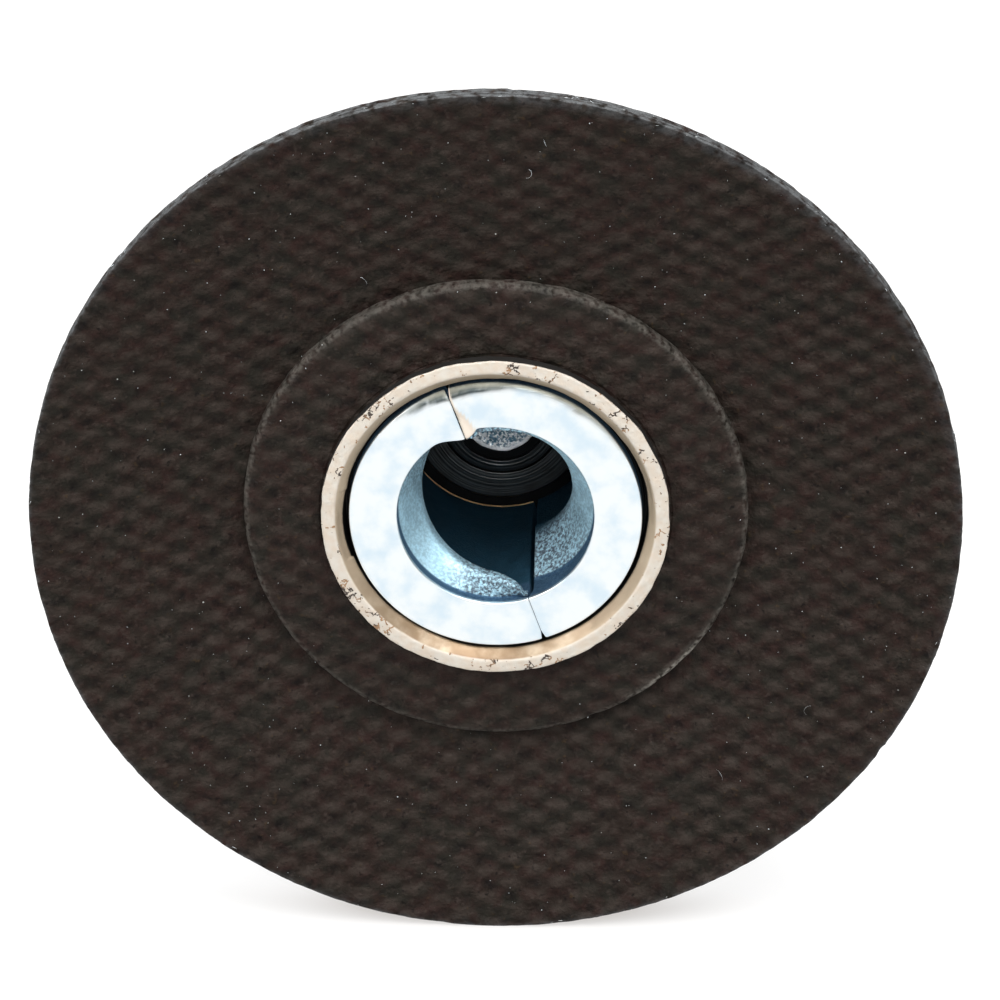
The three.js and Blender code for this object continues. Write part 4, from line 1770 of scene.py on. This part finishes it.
@dataclass
class CarvingHead:
    """Domed shell with its grit and teeth, the adhesive under its foot, and the rivet in its crown."""

    land: float = 8.5
    recess: float = 5.3
    thickness: float = 0.6
    foot_inner: float = 23.5
    grit_from: float = 9.7
    grit_to: float = 23.5
    segments: int = 320
    grains: int = 6500
    arms: int = 22
    teeth_per_arm: int = 15
    rivet_radius: float = 2.09
    bond_inner: float = 22.2

    def sphere(self) -> tuple[float, float]:
        """Centre depth and radius of the dome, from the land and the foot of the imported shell.

        Returns:
            The centre's depth and the radius, in mm.
        """
        shell = Extent.of("carving_shell")
        foot, far, near = shell.radius, shell.far, shell.near
        centre = (far ** 2 - near ** 2 + self.land ** 2 - foot ** 2) / (2 * (far - near))
        return centre, math.hypot(self.land, far - centre)

    def dome(self, offset: float, first: float, last: float, cuts: int) -> list[Corner]:
        """Lays corners along the dome's face.

        Args:
            offset: How far they stand off the face.
            first: The face radius that they start at.
            last: The face radius that they end at.
            cuts: How many there are.

        Returns:
            The corners in order.
        """
        centre, radius = self.sphere()
        stops = np.linspace(math.asin(first / radius), math.asin(last / radius), cuts)
        reach = radius + offset
        return [Corner(reach * math.sin(a), centre + reach * math.cos(a)) for a in stops]

    def build_shell(self, shop: Workshop) -> None:
        """Makes the pressed shell.

        Args:
            shop: Where pieces are made.
        """
        shell, washer = Extent.of("carving_shell"), Extent.of("rivet_washer")
        floor = washer.near - 0.05
        foot = self.dome(0, self.land, shell.radius, 40)
        under = self.dome(-self.thickness, self.land, self.foot_inner - 0.1, 30)
        solid = revolve(section_of([
            Corner(self.rivet_radius + 0.05, floor - self.thickness, 0.04, 2),
            Corner(self.rivet_radius + 0.05, floor, 0.04, 5),
            Corner(self.recess - 0.45, floor, 0.30, 4),
            Corner(self.recess, shell.far, 0.30, 6),
            Corner(self.land, shell.far, 0.25, 2),
            *foot[1:],
            Corner(self.foot_inner, shell.near + 0.2, 0.05, 2),
            *reversed(under),
            Corner(self.recess + self.thickness, shell.far - self.thickness, 0.2, 3),
            Corner(self.recess + self.thickness, floor - self.thickness, 0.3, 4),
        ]), self.segments)
        shop.make("carving_shell_pressed", solid, Look.PRESSED, ["carving_shell"])

    def build_grit(self, shop: Workshop) -> None:
        """Makes the braze film, the broken grains in it, and the curved rows of teeth.

        Args:
            shop: Where pieces are made.
        """
        noise, chance = Noise(61), np.random.default_rng(62)
        centre, radius = self.sphere()
        film = revolve(section_of([
            *self.dome(0.05, self.grit_from, self.grit_to, 60),
            *reversed(self.dome(0.20, self.grit_from, self.grit_to, 60)),
        ]), self.segments)
        outwards = film.points - [0, centre, 0]
        outwards /= np.linalg.norm(outwards, axis=1, keepdims=True)
        reach = np.linalg.norm(film.points - [0, centre, 0], axis=1) - radius
        lumps = smooth_step(reach, 0.1, 0.2) * 0.06 * noise.layered(film.points, 0.7)
        film.points += outwards * lumps[:, None]

        def spot(r: float, around: float, lift: float) -> np.ndarray:
            """A point over the dome at a face radius, an angle and a height above the face.

            Args:
                r: The face radius in mm.
                around: The angle in radians.
                lift: The height above the face in mm.

            Returns:
                The point, (x, depth, z).
            """
            tilt = math.asin(r / radius)
            out = (radius + lift) * math.sin(tilt)
            return np.array([out * math.cos(around), centre + (radius + lift) * math.cos(tilt),
                             out * math.sin(around)])

        solids = [film]
        for _ in range(self.grains):
            r = math.sqrt(chance.uniform(self.grit_from ** 2, self.grit_to ** 2))
            size = chance.uniform(0.12, 0.24)
            solids.append(grain(spot(r, chance.uniform(0, 2 * math.pi), 0.18), size, chance))
        for arm in range(self.arms):
            for row in range(self.teeth_per_arm):
                share = (row + 0.5 * (arm % 2)) / self.teeth_per_arm
                r = self.grit_from + 0.8 + (self.grit_to - self.grit_from - 2.0) * share
                around = 2 * math.pi * arm / self.arms + 0.9 * share
                height = 0.75 - 0.35 * share
                solids.append(self.tooth(spot, r, around, height, chance))
        shop.make("carbide_grit", join(solids), Look.GRIT, ["carbide_grit_coat"], faceted=True)

    def tooth(self, spot: Callable[[float, float, float], np.ndarray], r: float, around: float,
              height: float, chance: np.random.Generator) -> Solid:
        """Makes a sharp five-sided tooth that leans into the cut.

        Args:
            spot: Finds a point over the dome.
            r: The tooth's face radius.
            around: Its angle in radians.
            height: Its height in mm.
            chance: Where the random draws come from.

        Returns:
            The tooth.
        """
        sides, base = 5, 0.52
        ring = []
        for level, width in ((0.08, 1.0), (height * 0.5, 0.62)):
            for k in range(sides):
                a = 2 * math.pi * k / sides + 0.3 * level
                reach = base * width * chance.uniform(0.85, 1.15)
                aside = around + reach * math.sin(a) / r + 0.12 * level / r
                ring.append(spot(r + reach * math.cos(a), aside, level))
        points = np.array([*ring, spot(r, around + 0.22 / r, height + 0.08), spot(r, around, 0.02)])
        faces = ring_faces(2, sides, wrap=False)
        tip, foot = 2 * sides, 2 * sides + 1
        for k in range(sides):
            onward = (k + 1) % sides
            faces += [(sides + k, sides + onward, tip), (onward, k, foot)]
        return Solid(points, faces).faces_out()

    def build_bond(self, shop: Workshop) -> None:
        """Makes the adhesive ring with its squeezed-out bead.

        Args:
            shop: Where pieces are made.
        """
        bond = Extent.of("bond_ring")
        noise = Noise(63)
        solid = revolve(section_of([
            Corner(self.bond_inner, bond.far - 0.2, 0.05, 12),
            Corner(bond.radius, bond.near, 0.05, 2),
            Corner(bond.radius + 0.16, bond.near + 0.10, 0.08, 2),
            Corner(bond.radius, bond.near + 0.2, 0.05, 12),
            Corner(self.bond_inner, bond.far, 0.05, 2),
        ]), self.segments)
        bead = smooth_step(solid.radii, bond.radius - 0.05, bond.radius + 0.1)
        solid.move_out(bead * 0.10 * noise.layered(solid.points, 0.9))
        shop.make("bond_adhesive_ring", solid, Look.ADHESIVE, ["bond_ring"])

    def build_rivet(self, shop: Workshop) -> None:
        """Makes the rivet, rough at its upset end, and the washer under its head.

        Args:
            shop: Where pieces are made.
        """
        rivet, washer = Extent.of("centre_rivet"), Extent.of("rivet_washer")
        noise = Noise(71)
        head = washer.far + 0.05
        corners = [
            Corner(0, rivet.near, 0, 26),
            Corner(self.rivet_radius - 0.06, rivet.near + 0.02, 0.08, 2),
            Corner(self.rivet_radius, rivet.near + 0.18, 0.1, 8),
            Corner(self.rivet_radius, head, 0.03, 2),
            Corner(rivet.radius, head, 0.06, 2),
            Corner(rivet.radius - 0.2, head + 0.22, 0.12, 6),
            Corner(rivet.radius * 0.6, head + 0.42, 0.5, 6),
            Corner(0, rivet.far, 0),
        ]
        solid = revolve_solid(section_of(corners, closed=False), 120)
        rough = 1 - smooth_step(solid.points[:, 1], rivet.near + 0.02, rivet.near + 0.3)
        relief = 0.10 * noise.at(solid.points, 0.30) + 0.07 * noise.at(solid.points + 3, 0.14)
        relief *= 1 - 0.85 * smooth_step(solid.radii, 1.55, 1.85)
        solid.points[:, 1] += rough * (relief + 0.02)
        solid.move_out(rough * smooth_step(solid.radii, 1.6, 2.0) * 0.03 * noise.at(solid.points, 0.4))
        shop.make("centre_rivet_upset", solid, Look.RIVET, ["centre_rivet"], faceted=True)
        ring = revolve(section_of([
            Corner(self.rivet_radius + 0.05, washer.near, 0.03, 3),
            Corner(washer.radius, washer.near, 0.05, 2),
            Corner(washer.radius, washer.far, 0.08, 4),
            Corner(self.rivet_radius + 0.05, washer.far, 0.05, 2),
        ]), 160)
        shop.make("rivet_washer_plain", ring, Look.PLAIN, ["rivet_washer"])

    def build(self, shop: Workshop) -> None:
        """Makes every piece of the carving side.

        Args:
            shop: Where pieces are made.
        """
        self.build_shell(shop)
        self.build_grit(shop)
        self.build_bond(shop)
        self.build_rivet(shop)


# ------------------------------------------------------------------------------------ studio


@dataclass
class Studio:
    """Pale floor, soft light and the camera."""

    azimuth: float = 1.475
    elevation: float = 27.15
    distance: float = 381.0
    lens: float = 247.8
    aim: tuple[float, float] = (0.074, -2.2)
    ambient: float = 0.24
    backdrop: float = 1.05
    floor_half: float = 900.0
    shade: Color = (0.30, 0.25, 0.21)
    shade_middle: tuple[float, float] = (0.0, -5.4)
    shade_reach: tuple[float, float] = (9.0, 2.1)

    def build_world(self) -> None:
        """Makes a white backdrop that lights the disc softly, and most of all from above."""
        world = bpy.data.worlds.new("studio")
        world.use_nodes = True
        graph = Graph(world.node_tree)
        sky = world.node_tree.nodes["Background"]
        seen = graph.node("ShaderNodeLightPath").outputs["Is Camera Ray"]
        up = graph.node("ShaderNodeSeparateXYZ")
        graph.feed(up.inputs[0], graph.node("ShaderNodeTexCoord").outputs["Generated"])
        soft = graph.spread(up.outputs["Z"], -0.2, 1.0, 0.25 * self.ambient, 2.2 * self.ambient)
        strength = graph.node("ShaderNodeMix", data_type="FLOAT")
        for index, value in ((0, seen), (2, soft), (3, self.backdrop)):
            graph.feed(strength.inputs[index], value)
        graph.feed(sky.inputs["Color"], (1.0, 1.0, 1.0))
        graph.feed(sky.inputs["Strength"], strength.outputs[0])
        bpy.context.scene.world = world
        bpy.context.scene.view_settings.view_transform = "Standard"

    def build_floor(self) -> None:
        """Makes the pale, slightly glowing floor, with a soft warm shade where the rim stands on it."""
        bpy.ops.mesh.primitive_plane_add(size=2 * self.floor_half * MM, location=(0, 0, CAD_BOX[0].z))
        floor = bpy.context.object
        floor.name = "studio_floor"
        material = bpy.data.materials.new("studio_floor")
        material.use_nodes = True
        shader = material.node_tree.nodes["Principled BSDF"]
        graph = Graph(material.node_tree)
        shader.inputs["Base Color"].default_value = (0.15, 0.147, 0.145, 1)
        shader.inputs["Roughness"].default_value = 0.9
        shader.inputs["Specular IOR Level"].default_value = 0.1
        spot = graph.node("ShaderNodeSeparateXYZ")
        graph.feed(spot.inputs[0], graph.place())
        squares = []
        for axis, middle, reach in zip(("X", "Y"), self.shade_middle, self.shade_reach):
            off = graph.math("MULTIPLY_ADD", spot.outputs[axis], 1 / reach, -middle / reach)
            squares.append(graph.math("MULTIPLY", off, off))
        shade = graph.math("EXPONENT", graph.math("MULTIPLY", graph.math("ADD", *squares), -1.0))
        graph.feed(shader.inputs["Emission Color"], graph.blend(shade, (1, 1, 1), self.shade))
        bounced = graph.node("ShaderNodeLightPath").outputs["Is Diffuse Ray"]
        graph.feed(shader.inputs["Emission Strength"], graph.math("MULTIPLY_ADD", bounced, -0.70, 0.88))
        floor.data.materials.append(material)
        floor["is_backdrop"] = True

    def add_light(self, name: str, place: tuple[float, float, float], size: float, power: float) -> None:
        """Adds a soft square light that faces the disc.

        Args:
            name: The light's name.
            place: Where it hangs, in mm.
            size: Its width in mm.
            power: Its power in watts.
        """
        data = bpy.data.lights.new(name, "AREA")
        data.size = size * MM
        data.energy = power
        light = bpy.data.objects.new(name, data)
        light.location = Vector(place) * MM
        light.rotation_euler = (-light.location).to_track_quat("-Z", "Y").to_euler()
        bpy.context.scene.collection.objects.link(light)

    def build_camera(self) -> None:
        """Aims the camera at the disc's socket side."""
        a, e = math.radians(self.azimuth), math.radians(self.elevation)
        back = Vector((math.sin(a) * math.cos(e), -math.cos(a) * math.cos(e), math.sin(e)))
        right = Vector((math.cos(a), math.sin(a), 0))
        above = back.cross(right)
        data = bpy.data.cameras.new("camera")
        data.lens, data.sensor_width = self.lens, 36.0
        data.clip_start, data.clip_end = 0.01, 10.0
        camera = bpy.data.objects.new("camera", data)
        turn = Matrix((right, above, back)).transposed()
        camera.rotation_euler = turn.to_euler()
        camera.location = (back * self.distance + right * self.aim[0] + above * self.aim[1]) * MM
        bpy.context.scene.collection.objects.link(camera)
        bpy.context.scene.camera = camera

    def build(self) -> None:
        """Sets up the whole studio."""
        self.build_world()
        self.build_floor()
        self.add_light("key", (150, -240, 430), 250, 2.8)
        self.add_light("front", (30, -420, 195), 110, 0.75)
        self.add_light("top", (-40, 40, 520), 260, 3.0)
        self.add_light("fill", (-300, -260, 280), 260, 1.5)
        self.build_camera()


def save_sizes() -> None:
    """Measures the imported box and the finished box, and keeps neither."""
    boxes = {"cad": CAD_BOX, "visual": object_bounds()}
    {name: [list(low), list(high)] for name, (low, high) in boxes.items()}


def main() -> None:
    logging.basicConfig(level=logging.INFO, format="%(name)s %(message)s")
    Studio().build()
    shop = Workshop.open()
    for assembly in (BackingPlate(), Hub(), CarvingHead()):
        assembly.build(shop)
        log.info("%s is done", type(assembly).__name__)
    save_sizes()


if __name__ == "__main__":
    main()
